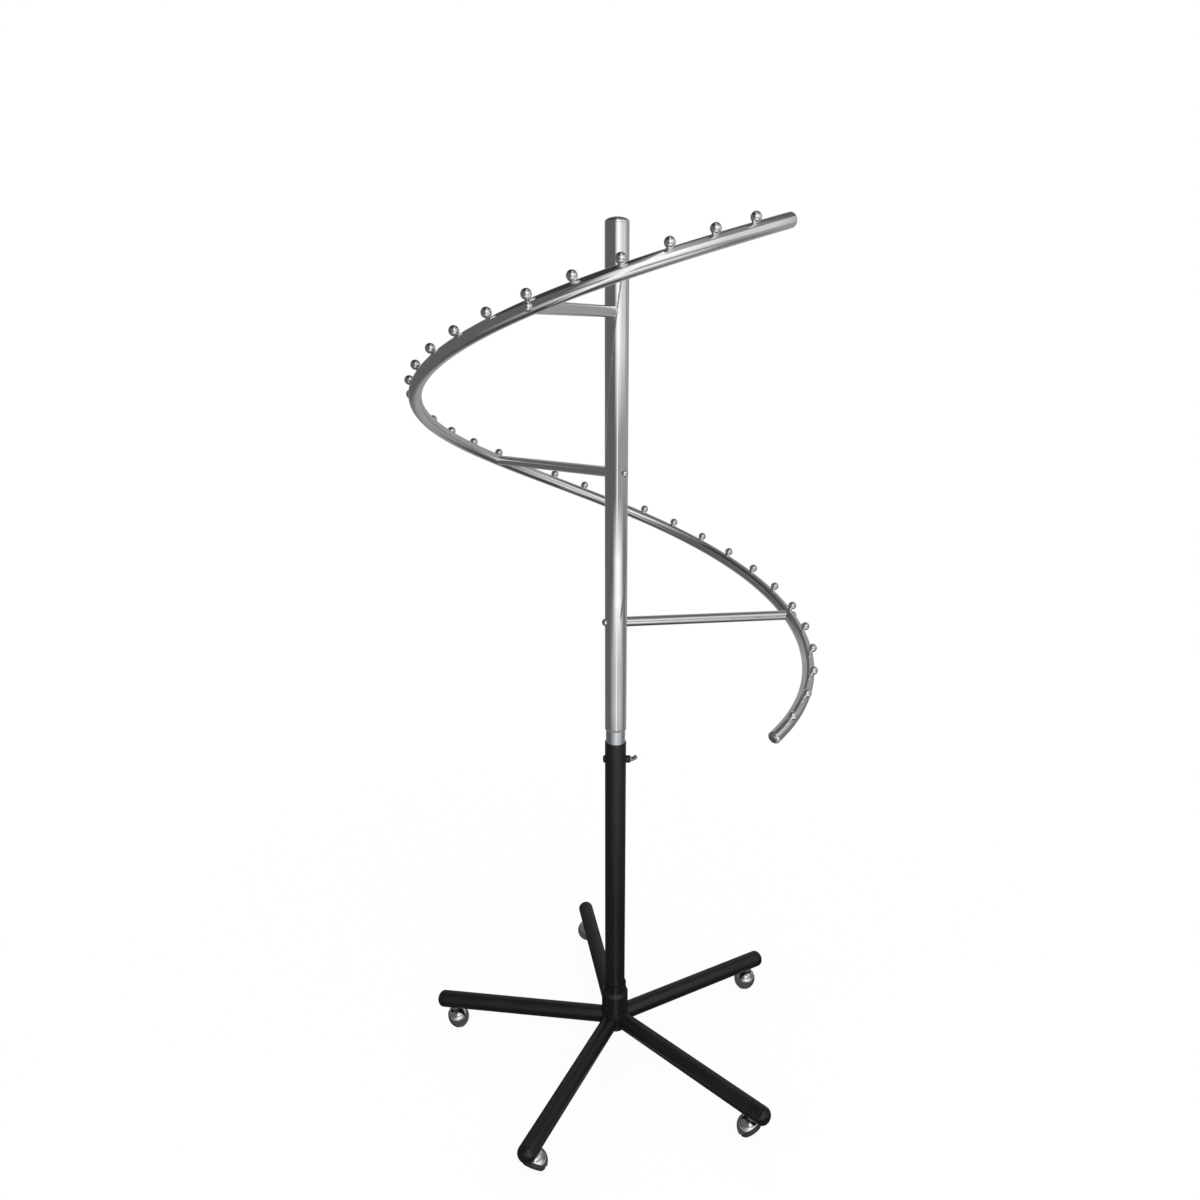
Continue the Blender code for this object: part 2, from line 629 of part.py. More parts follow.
def build_mast(post, ball_height, looks):
    """Make the turning mast with its cap, bushes and bearing plug."""
    carousel = empty("mast_turn", post)
    profile = [
        (MAST_RADIUS, MAST_TOP),
        (MAST_RADIUS, MAST_BOTTOM),
        (MAST_BORE, MAST_BOTTOM),
        (MAST_BORE, MAST_TOP),
    ]
    mast = piece("mast_tube", turned(profile, COLUMN_SIDES, closed=True), looks["chrome"], carousel)
    cap_face = MAST_TOP + SEAT_GAP
    spigot = MAST_BORE - SEAT_GAP
    cap_profile = dome(MAST_RADIUS, CAP_DOME, cap_face + CAP_LIP)
    cap_profile += [
        (MAST_RADIUS, cap_face),
        (spigot, cap_face),
        (spigot, cap_face - CAP_SPIGOT),
        (spigot - CAP_WALL, cap_face - CAP_SPIGOT),
        (spigot - CAP_WALL, cap_face - CAP_WALL),
        (0.0, cap_face - CAP_WALL),
    ]
    piece("mast_cap", turned(cap_profile, COLUMN_SIDES), looks["chrome"], carousel)

    outer = MAST_BORE - BUSH_GAP
    inner = POST_RADIUS + BUSH_GAP
    flange_top = MAST_BOTTOM - SEAT_GAP
    lower_profile = [
        (outer, MAST_BOTTOM + BUSH_LENGTH),
        (outer, flange_top),
        (MAST_RADIUS, flange_top),
        (MAST_RADIUS, flange_top - BUSH_FLANGE),
        (inner, flange_top - BUSH_FLANGE),
        (inner, MAST_BOTTOM + BUSH_LENGTH),
    ]
    piece("lower_bush", turned(lower_profile, COLUMN_SIDES, closed=True), looks["nylon"], carousel)
    upper_top = POST_TOP - UPPER_BUSH_DROP
    upper_profile = [
        (outer, upper_top),
        (outer, upper_top - BUSH_LENGTH),
        (inner, upper_top - BUSH_LENGTH),
        (inner, upper_top),
    ]
    piece("upper_bush", turned(upper_profile, COLUMN_SIDES, closed=True), looks["nylon"], carousel)

    plug_bottom = ball_height + THRUST_BALL_RISE
    plug_profile = ball_seat(plug_bottom, 1.0)
    plug_profile += [
        (outer, plug_bottom),
        (outer, plug_bottom + BEARING_PLUG),
        (0.0, plug_bottom + BEARING_PLUG),
    ]
    piece("mast_bearing_plug", turned(plug_profile, COLUMN_SIDES), looks["nylon"], carousel)
    return carousel, mast


def build_rail(carousel, looks):
    """Make the spiral rail, weld its ball stops on and close its ends."""
    shape = bmesh.new()
    rail_bore = RAIL_RADIUS - RAIL_WALL
    outside = []
    inside = []
    for k in range(RAIL_RINGS + 1):
        centre, _, outward, upward = rail_frame(RAIL_TURN * k / RAIL_RINGS)
        outside.append(add_ring(shape, circle(centre, outward, upward, RAIL_RADIUS, RAIL_SIDES)))
        inside.append(add_ring(shape, circle(centre, outward, upward, rail_bore, RAIL_SIDES)))
    for loops in (outside, inside):
        for first, second in zip(loops, loops[1:]):
            join_rings(shape, first, second)
    for end in (0, -1):
        join_rings(shape, outside[end], inside[end])
    bmesh.ops.triangulate(shape, faces=shape.faces)
    rail = piece("spiral_rail", shape, looks["chrome"], carousel)

    stops = bmesh.new()
    for k in range(BALL_COUNT):
        add_ball_stop(stops, BALL_FIRST + BALL_STEP * k)
    combine(rail, "ball_stops", stops, "UNION")

    spigot = rail_bore * math.cos(math.pi / RAIL_SIDES) - 2 * SEAT_GAP
    plug_profile = dome(RAIL_RADIUS, RAIL_PLUG_DOME, SEAT_GAP)
    plug_profile += [(spigot, SEAT_GAP), (spigot, -RAIL_PLUG_SPIGOT), (0.0, -RAIL_PLUG_SPIGOT)]
    for end, angle, sense in (("top", 0.0, -1.0), ("bottom", RAIL_TURN, 1.0)):
        centre, tangent, _, _ = rail_frame(angle)
        plug = turned(plug_profile, SMALL_SIDES)
        piece(f"rail_plug_{end}", plug, looks["chrome"], carousel, facing(sense * tangent, at=centre))
    return rail


def add_ball_stop(shape, angle):
    """Add one ball on its upright stud, whose foot is cut to the slope of the rail."""
    centre, tangent, _, _ = rail_frame(angle)
    outward = Vector((centre.x, centre.y, 0.0)).normalized()
    lean = math.cos(BALL_LEAN) * Vector((0.0, 0.0, 1.0)) + math.sin(BALL_LEAN) * outward
    place = facing(lean, up=tangent, at=centre)
    across = (lean - tangent * lean.dot(tangent)).normalized()
    slant = place.to_3x3().transposed() @ across

    def foot(x, y):
        return (RAIL_RADIUS - BALL_WELD - x * slant.x - y * slant.y) / slant.z

    neck = math.asin(BALL_STEM_RADIUS / BALL_RADIUS)
    profile = [(0.0, foot), (BALL_STEM_RADIUS, foot)]
    for k in range(ARC_STEPS):
        turn = neck + (math.pi - neck) * k / ARC_STEPS
        profile.append((BALL_RADIUS * math.sin(turn), BALL_STANDOFF - BALL_RADIUS * math.cos(turn)))
    profile.append((0.0, BALL_STANDOFF + BALL_RADIUS))
    stop = turned(profile, BALL_SIDES)
    bmesh.ops.transform(stop, matrix=place, verts=stop.verts)
    copy = bpy.data.meshes.new("ball_stop")
    stop.to_mesh(copy)
    stop.free()
    shape.from_mesh(copy)
    bpy.data.meshes.remove(copy)


def build_arms(carousel, mast, rail, looks):
    """Make the three arms and the bolts that hold each to the mast and to the rail."""
    for name, (angle, height) in ARM_PLACES.items():
        centre, tangent, _, _ = rail_frame(angle)
        start = Vector((0.0, 0.0, MAST_BOTTOM + height))
        outward = facing(centre - start, at=start)
        length = (centre - start).length
        at_mast = mast_end(outward)
        at_rail = rail_end(outward, tangent, length)

        radius = ARM_OD / 2
        bore = radius - ARM_WALL
        hole = BOLT_RADIUS + HOLE_GAP
        near_wall = MAST_RADIUS + ARM_END
        far_wall = length - RAIL_RADIUS - ARM_END
        profile = end_face(radius, hole, at_mast)
        profile += [(hole, near_wall), (bore, near_wall), (bore, far_wall), (hole, far_wall)]
        profile += end_face(hole, radius, at_rail)
        piece(f"arm_{name}", turned(profile, ARM_SIDES, closed=True), looks["chrome"], carousel, outward)

        behind = facing(start - centre, at=start)
        head = max(mast_end(behind)(0.0, rim) for rim in (-BOLT_HEAD_RADIUS, BOLT_HEAD_RADIUS))
        tip = -MAST_RADIUS - SEAT_GAP - BOLT_GRIP
        mast_bolt = dome(BOLT_HEAD_RADIUS, BOLT_HEAD_DOME, head)
        mast_bolt += [(BOLT_RADIUS, head), (BOLT_RADIUS, tip), (0.0, tip)]
        piece(f"mast_bolt_{name}", turned(mast_bolt, SMALL_SIDES), looks["chrome"], carousel, behind)
        mast_hole = rod(hole, -MAST_OD, MAST_OD)
        combine(mast, f"mast_hole_{name}", mast_hole, "DIFFERENCE", outward)

        head = length + RAIL_RADIUS + SEAT_GAP
        tip = length - RAIL_RADIUS - SEAT_GAP - BOLT_GRIP
        rail_bolt = dome(BOLT_HEAD_RADIUS, BOLT_HEAD_DOME, head)
        rail_bolt += [(BOLT_RADIUS, head), (BOLT_RADIUS, tip), (0.0, tip)]
        piece(f"rail_bolt_{name}", turned(rail_bolt, SMALL_SIDES), looks["chrome"], carousel, outward)
        rail_hole = rod(hole, length - RAIL_OD, length + RAIL_OD)
        combine(rail, f"rail_hole_{name}", rail_hole, "DIFFERENCE", outward)


def end_face(first, last, place):
    """Return the points across a tube's coped end, from one radius to another."""
    return [(first + (last - first) * k / FACE_STEPS, place) for k in range(FACE_STEPS + 1)]


def mast_end(place):
    """Return the end of a tube or head that meets the mast on a sloping axis."""
    fall = place.col[2].z
    flat = math.sqrt(1.0 - fall**2)

    def end(x, y):
        return (math.sqrt((MAST_RADIUS + SEAT_GAP) ** 2 - x * x) + y * fall) / flat

    return end


def rail_end(place, tangent, length):
    """Return the end of an arm that is coped to fit the rail's curved and sloping tube."""
    lie = place.to_3x3().transposed() @ tangent
    # The rail's straight facets lie a little inside its true curve
    sag = length * (1.0 - math.cos(0.5 * RAIL_TURN / RAIL_RINGS))

    def end(x, y):
        along = x * lie.x + y * lie.y
        spread = 1.0 - lie.z**2
        skew = lie.z * along
        room = x * x + y * y - along**2 - (RAIL_RADIUS + SEAT_GAP) ** 2
        surface = (skew - math.sqrt(skew**2 - spread * room)) / spread
        return length + surface - x * x / (2.0 * length) - sag

    return end


def build_rack():
    """Build the whole rack from the floor up."""
    clear_scene()
    looks = {
        "chrome": finish("chrome", (0.72, 0.72, 0.72), 0.08, 1.0),
        "satin_chrome": finish("satin_chrome", (0.62, 0.64, 0.66), 0.25, 1.0),
        "steel": finish("steel", (0.42, 0.42, 0.44), 0.35, 1.0),
        "black_coat": finish("black_coat", (0.012, 0.012, 0.013), 0.35, 0.0),
        "black_plastic": finish("black_plastic", (0.015, 0.015, 0.016), 0.3, 0.0),
        "rubber": finish("rubber", (0.02, 0.02, 0.021), 0.6, 0.0),
        "nylon": finish("nylon", (0.55, 0.55, 0.53), 0.5, 0.0),
    }
    base = build_base(looks)
    post, ball_height = build_post(base, looks)
    carousel, mast = build_mast(post, ball_height, looks)
    rail = build_rail(carousel, looks)
    build_arms(carousel, mast, rail, looks)


build_rack()
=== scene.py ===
"""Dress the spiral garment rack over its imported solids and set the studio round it.

Metres, +Z up, origin on the mast's axis at floor level, -Y towards the camera.
"""

import json
import logging
import math
from collections.abc import Callable, Sequence
from dataclasses import dataclass
from enum import Enum
from typing import Any

import bmesh
import bpy
from mathutils import Matrix, Vector


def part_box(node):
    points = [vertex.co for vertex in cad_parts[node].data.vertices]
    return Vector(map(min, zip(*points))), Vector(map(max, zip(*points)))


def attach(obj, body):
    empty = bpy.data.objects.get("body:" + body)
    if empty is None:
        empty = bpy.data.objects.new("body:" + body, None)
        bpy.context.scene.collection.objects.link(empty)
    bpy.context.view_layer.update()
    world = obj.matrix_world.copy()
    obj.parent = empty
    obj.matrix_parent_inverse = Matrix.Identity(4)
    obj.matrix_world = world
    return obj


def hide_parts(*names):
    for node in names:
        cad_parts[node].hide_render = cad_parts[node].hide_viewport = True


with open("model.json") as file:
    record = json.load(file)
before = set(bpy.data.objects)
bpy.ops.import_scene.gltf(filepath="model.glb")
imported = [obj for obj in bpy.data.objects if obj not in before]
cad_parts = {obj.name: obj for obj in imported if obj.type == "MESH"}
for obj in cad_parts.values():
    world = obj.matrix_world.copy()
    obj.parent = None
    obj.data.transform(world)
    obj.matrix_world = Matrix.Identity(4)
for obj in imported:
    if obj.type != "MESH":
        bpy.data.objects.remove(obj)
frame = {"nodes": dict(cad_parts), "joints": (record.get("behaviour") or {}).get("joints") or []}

MM = 0.001
DEG = math.pi / 180.0
UP = Vector((0.0, 0.0, 1.0))
SHARP_ANGLE = 35.0 * DEG
WELD_DISTANCE = 0.001 * MM

Place = float | Callable[[float, float], float]


class Body(str, Enum):
    """Moving bodies that are there once; casters and wheels are numbered."""

    BASE = "base"
    POST = "post"
    CAROUSEL = "carousel"
    CLAMP = "clamp"


class Slot(str, Enum):
    """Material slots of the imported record."""

    CHROME = "chrome"
    SATIN_CHROME = "satin_chrome"
    STEEL = "steel"
    BLACK_COAT = "black_coat"
    BLACK_PLASTIC = "black_plastic"
    RUBBER = "rubber"
    NYLON = "nylon"


class Wire:
    """A node's output socket that takes part in Python expressions."""

    def __init__(self, sheet: "NodeSheet", socket: bpy.types.NodeSocket) -> None:
        """Keep the socket and the sheet that its node is on."""
        self.sheet = sheet
        self.socket = socket

    def sibling(self, name: str) -> "Wire":
        """Return another output of the same node."""
        return Wire(self.sheet, self.socket.node.outputs[name])

    def __add__(self, other: "Wire | float") -> "Wire":
        """Return self + other."""
        return self.sheet.maths("ADD", self, other)

    def __radd__(self, other: float) -> "Wire":
        """Return other + self."""
        return self.sheet.maths("ADD", other, self)

    def __sub__(self, other: "Wire | float") -> "Wire":
        """Return self - other."""
        return self.sheet.maths("SUBTRACT", self, other)

    def __rsub__(self, other: float) -> "Wire":
        """Return other - self."""
        return self.sheet.maths("SUBTRACT", other, self)

    def __mul__(self, other: "Wire | float") -> "Wire":
        """Return self * other."""
        return self.sheet.maths("MULTIPLY", self, other)

    def __rmul__(self, other: float) -> "Wire":
        """Return other * self."""
        return self.sheet.maths("MULTIPLY", other, self)

    def __truediv__(self, other: "Wire | float") -> "Wire":
        """Return self / other."""
        return self.sheet.maths("DIVIDE", self, other)

    def __rtruediv__(self, other: float) -> "Wire":
        """Return other / self."""
        return self.sheet.maths("DIVIDE", other, self)


class NodeSheet:
    """A shader or geometry node tree that is filled from Python."""

    def __init__(self, tree: bpy.types.NodeTree) -> None:
        """Start from an empty tree."""
        self.tree = tree
        tree.nodes.clear()

    def add(
        self,
        kind: str,
        settings: dict[str, Any] | None = None,
        inputs: dict[str | int, Any] | None = None,
        output: str | int | None = 0,
    ) -> Wire | None:
        """Add one node.

        Args:
            kind: The node's type name.
            settings: Attributes that are set first; "stops" gives a ramp's places and greys.
            inputs: Values or wires for the node's input sockets.
            output: The output to return, or None for a node that ends the tree.

        Returns:
            The chosen output as a wire, or None.
        """
        node = self.tree.nodes.new(kind)
        for name, value in (settings or {}).items():
            if name == "stops":
                self._set_stops(node.color_ramp, value)
            else:
                setattr(node, name, value)
        for key, value in (inputs or {}).items():
            if isinstance(value, Wire):
                self.tree.links.new(value.socket, node.inputs[key])
            else:
                node.inputs[key].default_value = value
        return None if output is None else Wire(self, node.outputs[output])

    @staticmethod
    def _set_stops(ramp: bpy.types.ColorRamp, stops: Sequence[tuple[float, float]]) -> None:
        """Give a colour ramp its places and greys."""
        while len(ramp.elements) < len(stops):
            ramp.elements.new(1.0)
        for element, (place, grey) in zip(ramp.elements, stops):
            element.position = place
            element.color = (grey, grey, grey, 1.0)

    def maths(self, operation: str, *values: "Wire | float") -> Wire:
        """Add a Math node.

        Args:
            operation: The node's operation.
            values: Its inputs in order.

        Returns:
            The result's wire.
        """
        return self.add("ShaderNodeMath", {"operation": operation}, dict(enumerate(values)))

    def mix(self, factor: "Wire | float", first: Any, second: Any) -> Wire:
        """Blend two colours.

        Args:
            factor: 0 gives the first colour and 1 the second.
            first: A colour or a wire.
            second: A colour or a wire.

        Returns:
            The blended colour's wire.
        """
        inputs = {0: factor, 6: first, 7: second}
        return self.add("ShaderNodeMix", {"data_type": "RGBA"}, inputs, 2)

    def ramp(self, value: Wire, stops: Sequence[tuple[float, float]]) -> Wire:
        """Map a value through a ramp of greys.

        Args:
            value: The value, from 0 to 1.
            stops: Places along the ramp and the grey at each.

        Returns:
            The grey's wire.
        """
        return self.add("ShaderNodeValToRGB", {"stops": stops}, {0: value})

    def noise(self, vector: Wire, scale: float, detail: float = 2.0) -> Wire:
        """Add a noise texture and return its value.

        Args:
            vector: Where to read the noise.
            scale: Its number of lumps to a metre.
            detail: Its number of finer layers.

        Returns:
            The noise's wire, about 0.5 on average.
        """
        inputs = {"Vector": vector, "Scale": scale, "Detail": detail}
        return self.add("ShaderNodeTexNoise", inputs=inputs)


@dataclass(frozen=True)
class Finish:
    """A surface finish that becomes one procedural material."""

    name: str
    slot: Slot
    colour: tuple[float, float, float]
    roughness: float

    def paint(self, sheet: NodeSheet) -> dict[str, Any]:
        """Return the values and wires of the shader's sockets."""
        raise NotImplementedError

    def shade(self, share: float) -> tuple[float, float, float, float]:
        """Return the colour made lighter or darker by a share of itself."""
        red, green, blue = self.colour
        return (red * share, green * share, blue * share, 1.0)

    def material(self) -> bpy.types.Material:
        """Return the finish's material, which is made on first use."""
        made = bpy.data.materials.get(self.name)
        if made:
            return made
        made = bpy.data.materials.new(self.name)
        made.use_nodes = True
        sheet = NodeSheet(made.node_tree)
        shader = sheet.add("ShaderNodeBsdfPrincipled", inputs=self.paint(sheet))
        sheet.add("ShaderNodeOutputMaterial", inputs={"Surface": shader}, output=None)
        return made


@dataclass(frozen=True)
class PlatedMetal(Finish):
    """Plated metal: a clear mirror or a satin one, with handling haze and faint drawing lines."""

    haze: float
    haze_scale: float = 38.0
    line_stretch: tuple[float, float, float] = (900.0, 900.0, 14.0)
    line_depth: float = 0.008 * MM
    line_strength: float = 0.25
    line_roughness: float = 0.012
    smudge_share: float = 0.955

    def paint(self, sheet: NodeSheet) -> dict[str, Any]:
        """Return the mirror's colour, its roughness in patches and its drawing lines."""
        where = sheet.add("ShaderNodeTexCoord", output="Object")
        patches = sheet.noise(where, self.haze_scale, 5.0)
        smudge = sheet.ramp(patches, ((0.42, 0.0), (0.72, 1.0)))
        stretched = sheet.add("ShaderNodeMapping", inputs={"Vector": where, "Scale": self.line_stretch})
        lines = sheet.noise(stretched, 1.0, 3.0)
        bump = {"Strength": self.line_strength, "Distance": self.line_depth, "Height": lines}
        return {
            "Base Color": sheet.mix(smudge, self.shade(1.0), self.shade(self.smudge_share)),
            "Metallic": 1.0,
            "Roughness": self.roughness + self.haze * smudge + self.line_roughness * lines,
            "Normal": sheet.add("ShaderNodeBump", inputs=bump),
        }


@dataclass(frozen=True)
class GrainedCoat(Finish):
    """Paint, plastic or rubber: an even colour with a fine skin grain and a dusting of wear."""

    grain_scale: float
    grain_depth: float
    dust: float
    dust_scale: float = 21.0
    dust_roughness: float = 0.07
    grain_strength: float = 0.4
    grain_roughness: float = 0.05

    def paint(self, sheet: NodeSheet) -> dict[str, Any]:
        """Return the coat's colour with its dusting, its roughness and its skin grain."""
        where = sheet.add("ShaderNodeTexCoord", output="Object")
        grain = sheet.noise(where, self.grain_scale, 2.0)
        clouds = sheet.noise(where, self.dust_scale, 6.0)
        dusting = sheet.ramp(clouds, ((0.46, 0.0), (0.74, 1.0)))
        lighter = tuple(part + self.dust for part in self.colour) + (1.0,)
        bump = {"Strength": self.grain_strength, "Distance": self.grain_depth, "Height": grain}
        return {
            "Base Color": sheet.mix(dusting, self.shade(1.0), lighter),
            "Roughness": self.roughness + self.dust_roughness * dusting + self.grain_roughness * grain,
            "Normal": sheet.add("ShaderNodeBump", inputs=bump),
        }


CHROME = PlatedMetal("polished_chrome", Slot.CHROME, (0.88, 0.885, 0.89), 0.03, haze=0.04)
POST_CHROME = PlatedMetal("satin_post_chrome", Slot.SATIN_CHROME, (0.76, 0.80, 0.82), 0.16, haze=0.1)
ZINC = PlatedMetal("zinc_plate", Slot.STEEL, (0.36, 0.36, 0.375), 0.26, haze=0.15, haze_scale=120.0)
COAT = GrainedCoat(
    "black_powder_coat", Slot.BLACK_COAT, (0.005, 0.005, 0.0055), 0.32, grain_scale=950.0,
    grain_depth=0.03 * MM, dust=0.002
)
MOULDING = GrainedCoat(
    "black_moulding", Slot.BLACK_PLASTIC, (0.005, 0.005, 0.0055), 0.2, grain_scale=1600.0,
    grain_depth=0.02 * MM, dust=0.002
)
TYRE = GrainedCoat(
    "tyre_rubber", Slot.RUBBER, (0.02, 0.02, 0.021), 0.55, grain_scale=1100.0,
    grain_depth=0.05 * MM, dust=0.012
)
BUSHING = GrainedCoat(
    "natural_nylon", Slot.NYLON, (0.2, 0.2, 0.197), 0.45, grain_scale=1300.0,
    grain_depth=0.02 * MM, dust=-0.03
)


@dataclass(frozen=True)
class Corner:
    """A corner of a turned profile: its radius, its place along the axis and its rounding."""

    radius: float
    height: float
    fillet: float = 0.0


def rounded(corners: Sequence[Corner], closed: bool = False, steps: int = 5) -> list[tuple[float, Place]]:
    """Round the corners of a profile.

    Args:
        corners: The profile's corners in order.
        closed: Whether the last corner joins the first.
        steps: The number of facets in each rounding.

    Returns:
        The profile's points, as radius and height.
    """
    points: list[tuple[float, Place]] = []
    for i, corner in enumerate(corners):
        here = Vector((corner.radius, corner.height))
        at_end = not closed and i in (0, len(corners) - 1)
        if corner.fillet == 0.0 or at_end:
            points.append((here.x, here.y))
            continue
        before = corners[i - 1]
        after = corners[(i + 1) % len(corners)]
        back = (Vector((before.radius, before.height)) - here).normalized()
        ahead = (Vector((after.radius, after.height)) - here).normalized()
        half = 0.5 * math.acos(max(-1.0, min(1.0, back.dot(ahead))))
        centre = here + (back + ahead).normalized() * corner.fillet / math.sin(half)
        first = here + back * corner.fillet / math.tan(half) - centre
        last = here + ahead * corner.fillet / math.tan(half) - centre
        start = math.atan2(first.y, first.x)
        sweep = (math.atan2(last.y, last.x) - start + math.pi) % math.tau - math.pi
        for k in range(steps + 1):
            angle = start + sweep * k / steps
            arc = centre + corner.fillet * Vector((math.cos(angle), math.sin(angle)))
            points.append((arc.x, arc.y))
    return points


def dome(radius: float, foot: float, rise: float, steps: int) -> list[tuple[float, Place]]:
    """Return the points of a dome from its top to its foot.

    Args:
        radius: The dome's radius at its foot.
        foot: Where its foot is along the axis.
        rise: How high its top is above its foot.
        steps: The number of facets.

    Returns:
        The points, as radius and height.
    """
    angles = [0.5 * math.pi * k / steps for k in range(steps + 1)]
    return [(radius * math.sin(angle), foot + rise * math.cos(angle)) for angle in angles]


def arc(
    radius: float, first: float, last: float, steps: int, centre: float = 0.0
) -> list[tuple[float, Place]]:
    """Return points on a circle about the axis.

    Args:
        radius: The circle's radius.
        first: The first point's angle from the axis.
        last: The last point's angle from the axis.
        steps: The number of facets.
        centre: The circle's centre along the axis.

    Returns:
        The points, as radius and height.
    """
    points: list[tuple[float, Place]] = []
    for k in range(steps + 1):
        angle = first + (last - first) * k / steps
        points.append((max(radius * math.sin(angle), 0.0), centre + radius * math.cos(angle)))
    return points


def facing(direction: Vector, at: Vector, up: Vector = UP) -> Matrix:
    """Return a matrix whose local Z looks along a direction.

    Args:
        direction: Where local Z looks.
        at: The local origin's place.
        up: What local Y leans towards.

    Returns:
        The matrix from local to rack places.
    """
    z_axis = direction.normalized()
    x_axis = up.cross(z_axis).normalized()
    turn = Matrix((x_axis, z_axis.cross(x_axis), z_axis)).transposed().to_4x4()
    return Matrix.Translation(at) @ turn


class Shape:
    """A mesh in the making, put together from turned and swept bodies."""

    def __init__(self) -> None:
        """Start with nothing."""
        self.mesh = bmesh.new()

    def turn(
        self,
        profile: Sequence[tuple[float, Place]],
        sides: int,
        place: Matrix | None = None,
        closed: bool = False,
    ) -> "Shape":
        """Turn a profile about local Z.

        Args:
            profile: Radii and heights; a height may depend on local x and y, as at a coped end.
            sides: The number of facets round the body.
            place: Where the body stands.
            closed: True for a ring, False for a body that starts and ends on the axis.

        Returns:
            This shape.
        """
        place = place or Matrix.Identity(4)
        rings = []
        for radius, height in profile:
            spots = []
            for k in range(sides if radius > 0.0 else 1):
                angle = math.tau * k / sides
                x = radius * math.cos(angle)
                y = radius * math.sin(angle)
                spots.append(place @ Vector((x, y, height(x, y) if callable(height) else height)))
            rings.append(spots)
        self.skin(rings, closed)
        return self

    def ring(self, corners: Sequence[Corner], sides: int, place: Matrix | None = None) -> "Shape":
        """Turn a closed profile with rounded corners about local Z and return this shape."""
        return self.turn(rounded(corners, closed=True), sides, place, closed=True)

    def sweep(self, stations: Sequence[tuple[Vector, Vector, float]], side: Vector, sides: int) -> "Shape":
        """Sweep a circle through stations.

        Args:
            stations: The centre, direction and radius of each circle; a radius of 0 closes an end.
            side: A direction across the whole path.
            sides: The number of facets round the body.

        Returns:
            This shape.
        """
        rings = []
        for centre, direction, radius in stations:
            across = direction.cross(side).normalized()
            spots = []
            for k in range(sides if radius > 0.0 else 1):
                angle = math.tau * k / sides
                spots.append(centre + radius * (math.cos(angle) * side + math.sin(angle) * across))
            rings.append(spots)
        self.skin(rings, False)
        return self

    def skin(self, rings: Sequence[Sequence[Vector]], closed: bool) -> None:
        """Join rings of points with faces.

        Args:
            rings: Loops of as many points as each other, or single points.
            closed: Whether the last ring joins the first.
        """
        loops = [[self.mesh.verts.new(spot) for spot in ring] for ring in rings]
        pairs = list(zip(loops, loops[1:]))
        if closed:
            pairs.append((loops[-1], loops[0]))
        for first, second in pairs:
            count = max(len(first), len(second))
            for i in range(count):
                j = (i + 1) % count
                corners = [first[i % len(first)], first[j % len(first)]]
                corners += [second[j % len(second)], second[i % len(second)]]
                self.mesh.faces.new(list(dict.fromkeys(corners)))

    def finish(self, name: str) -> bpy.types.Mesh:
        """Return the shape as a mesh with its faces turned outwards."""
        bmesh.ops.remove_doubles(self.mesh, verts=self.mesh.verts, dist=WELD_DISTANCE)
        bmesh.ops.recalc_face_normals(self.mesh, faces=self.mesh.faces)
        mesh = bpy.data.meshes.new(name)
        self.mesh.to_mesh(mesh)
        self.mesh.free()
        return mesh


class Recipe:
    """A geometry node tree with named inputs that makes one kind of repeated or swept shape."""

    def __init__(self, name: str) -> None:
        """Start a tree that takes and gives geometry."""
        self.tree = bpy.data.node_groups.new(name, "GeometryNodeTree")
        self.sheet = NodeSheet(self.tree)
        self.identifiers: dict[str, str] = {}
        self.tree.interface.new_socket("Shape", in_out="OUTPUT", socket_type="NodeSocketGeometry")
        self.seed = self.input("Seed Shape", "NodeSocketGeometry")
        self.finish = self.input("Finish", "NodeSocketMaterial")

    def input(self, name: str, kind: str) -> Wire:
        """Add a named input and return its wire."""
        item = self.tree.interface.new_socket(name, in_out="INPUT", socket_type=kind)
        self.identifiers[name] = item.identifier
        return self.sheet.add("NodeGroupInput", output=name)

    def number(self, name: str) -> Wire:
        """Add a named number and return its wire."""
        return self.input(name, "NodeSocketFloat")

    def close(self, shape: Wire) -> None:
        """End the tree: make the instances real and give them the finish."""
        real = self.sheet.add("GeometryNodeRealizeInstances", inputs={"Geometry": shape})
        dressed = {"Geometry": real, "Material": self.finish}
        dressed = self.sheet.add("GeometryNodeSetMaterial", inputs=dressed)
        self.sheet.add("NodeGroupOutput", inputs={"Shape": dressed}, output=None)

    def run(self, seed: bpy.types.Mesh, finish: Finish, values: dict[str, Any]) -> bpy.types.Mesh:
        """Make the shape.

        Args:
            seed: The mesh that the tree starts from.
            finish: What the result is finished in.
            values: The other inputs by name.

        Returns:
            The result as a plain mesh.
        """
        maker = bpy.data.objects.new("maker", seed)
        bpy.context.scene.collection.objects.link(maker)
        modifier = maker.modifiers.new(self.tree.name, "NODES")
        modifier.node_group = self.tree
        for name, value in {"Finish": finish.material(), **values}.items():
            modifier[self.identifiers[name]] = value
        depsgraph = bpy.context.evaluated_depsgraph_get()
        mesh = bpy.data.meshes.new_from_object(maker.evaluated_get(depsgraph), depsgraph=depsgraph)
        maker.modifiers.remove(modifier)
        bpy.data.objects.remove(maker)
        return mesh


class RoundRecipe(Recipe):
    """Base of the trees that repeat a shape evenly round the mast's axis."""

    def around(self, shape: Wire) -> Wire:
        """Add the repeat's inputs and return the repeated shape."""
        count = self.input("Count", "NodeSocketInt")
        first = self.number("First Angle")
        spots = self.sheet.add("GeometryNodeMeshLine", inputs={"Count": count, "Offset": (0.0, 0.0, 0.0)})
        index = self.sheet.add("GeometryNodeInputIndex")
        turn = self.sheet.add("ShaderNodeCombineXYZ", inputs={"Z": first + index * math.tau / count})
        turn = self.sheet.add("FunctionNodeEulerToRotation", inputs={"Euler": turn})
        inputs = {"Points": spots, "Instance": shape, "Rotation": turn}
        return self.sheet.add("GeometryNodeInstanceOnPoints", inputs=inputs)


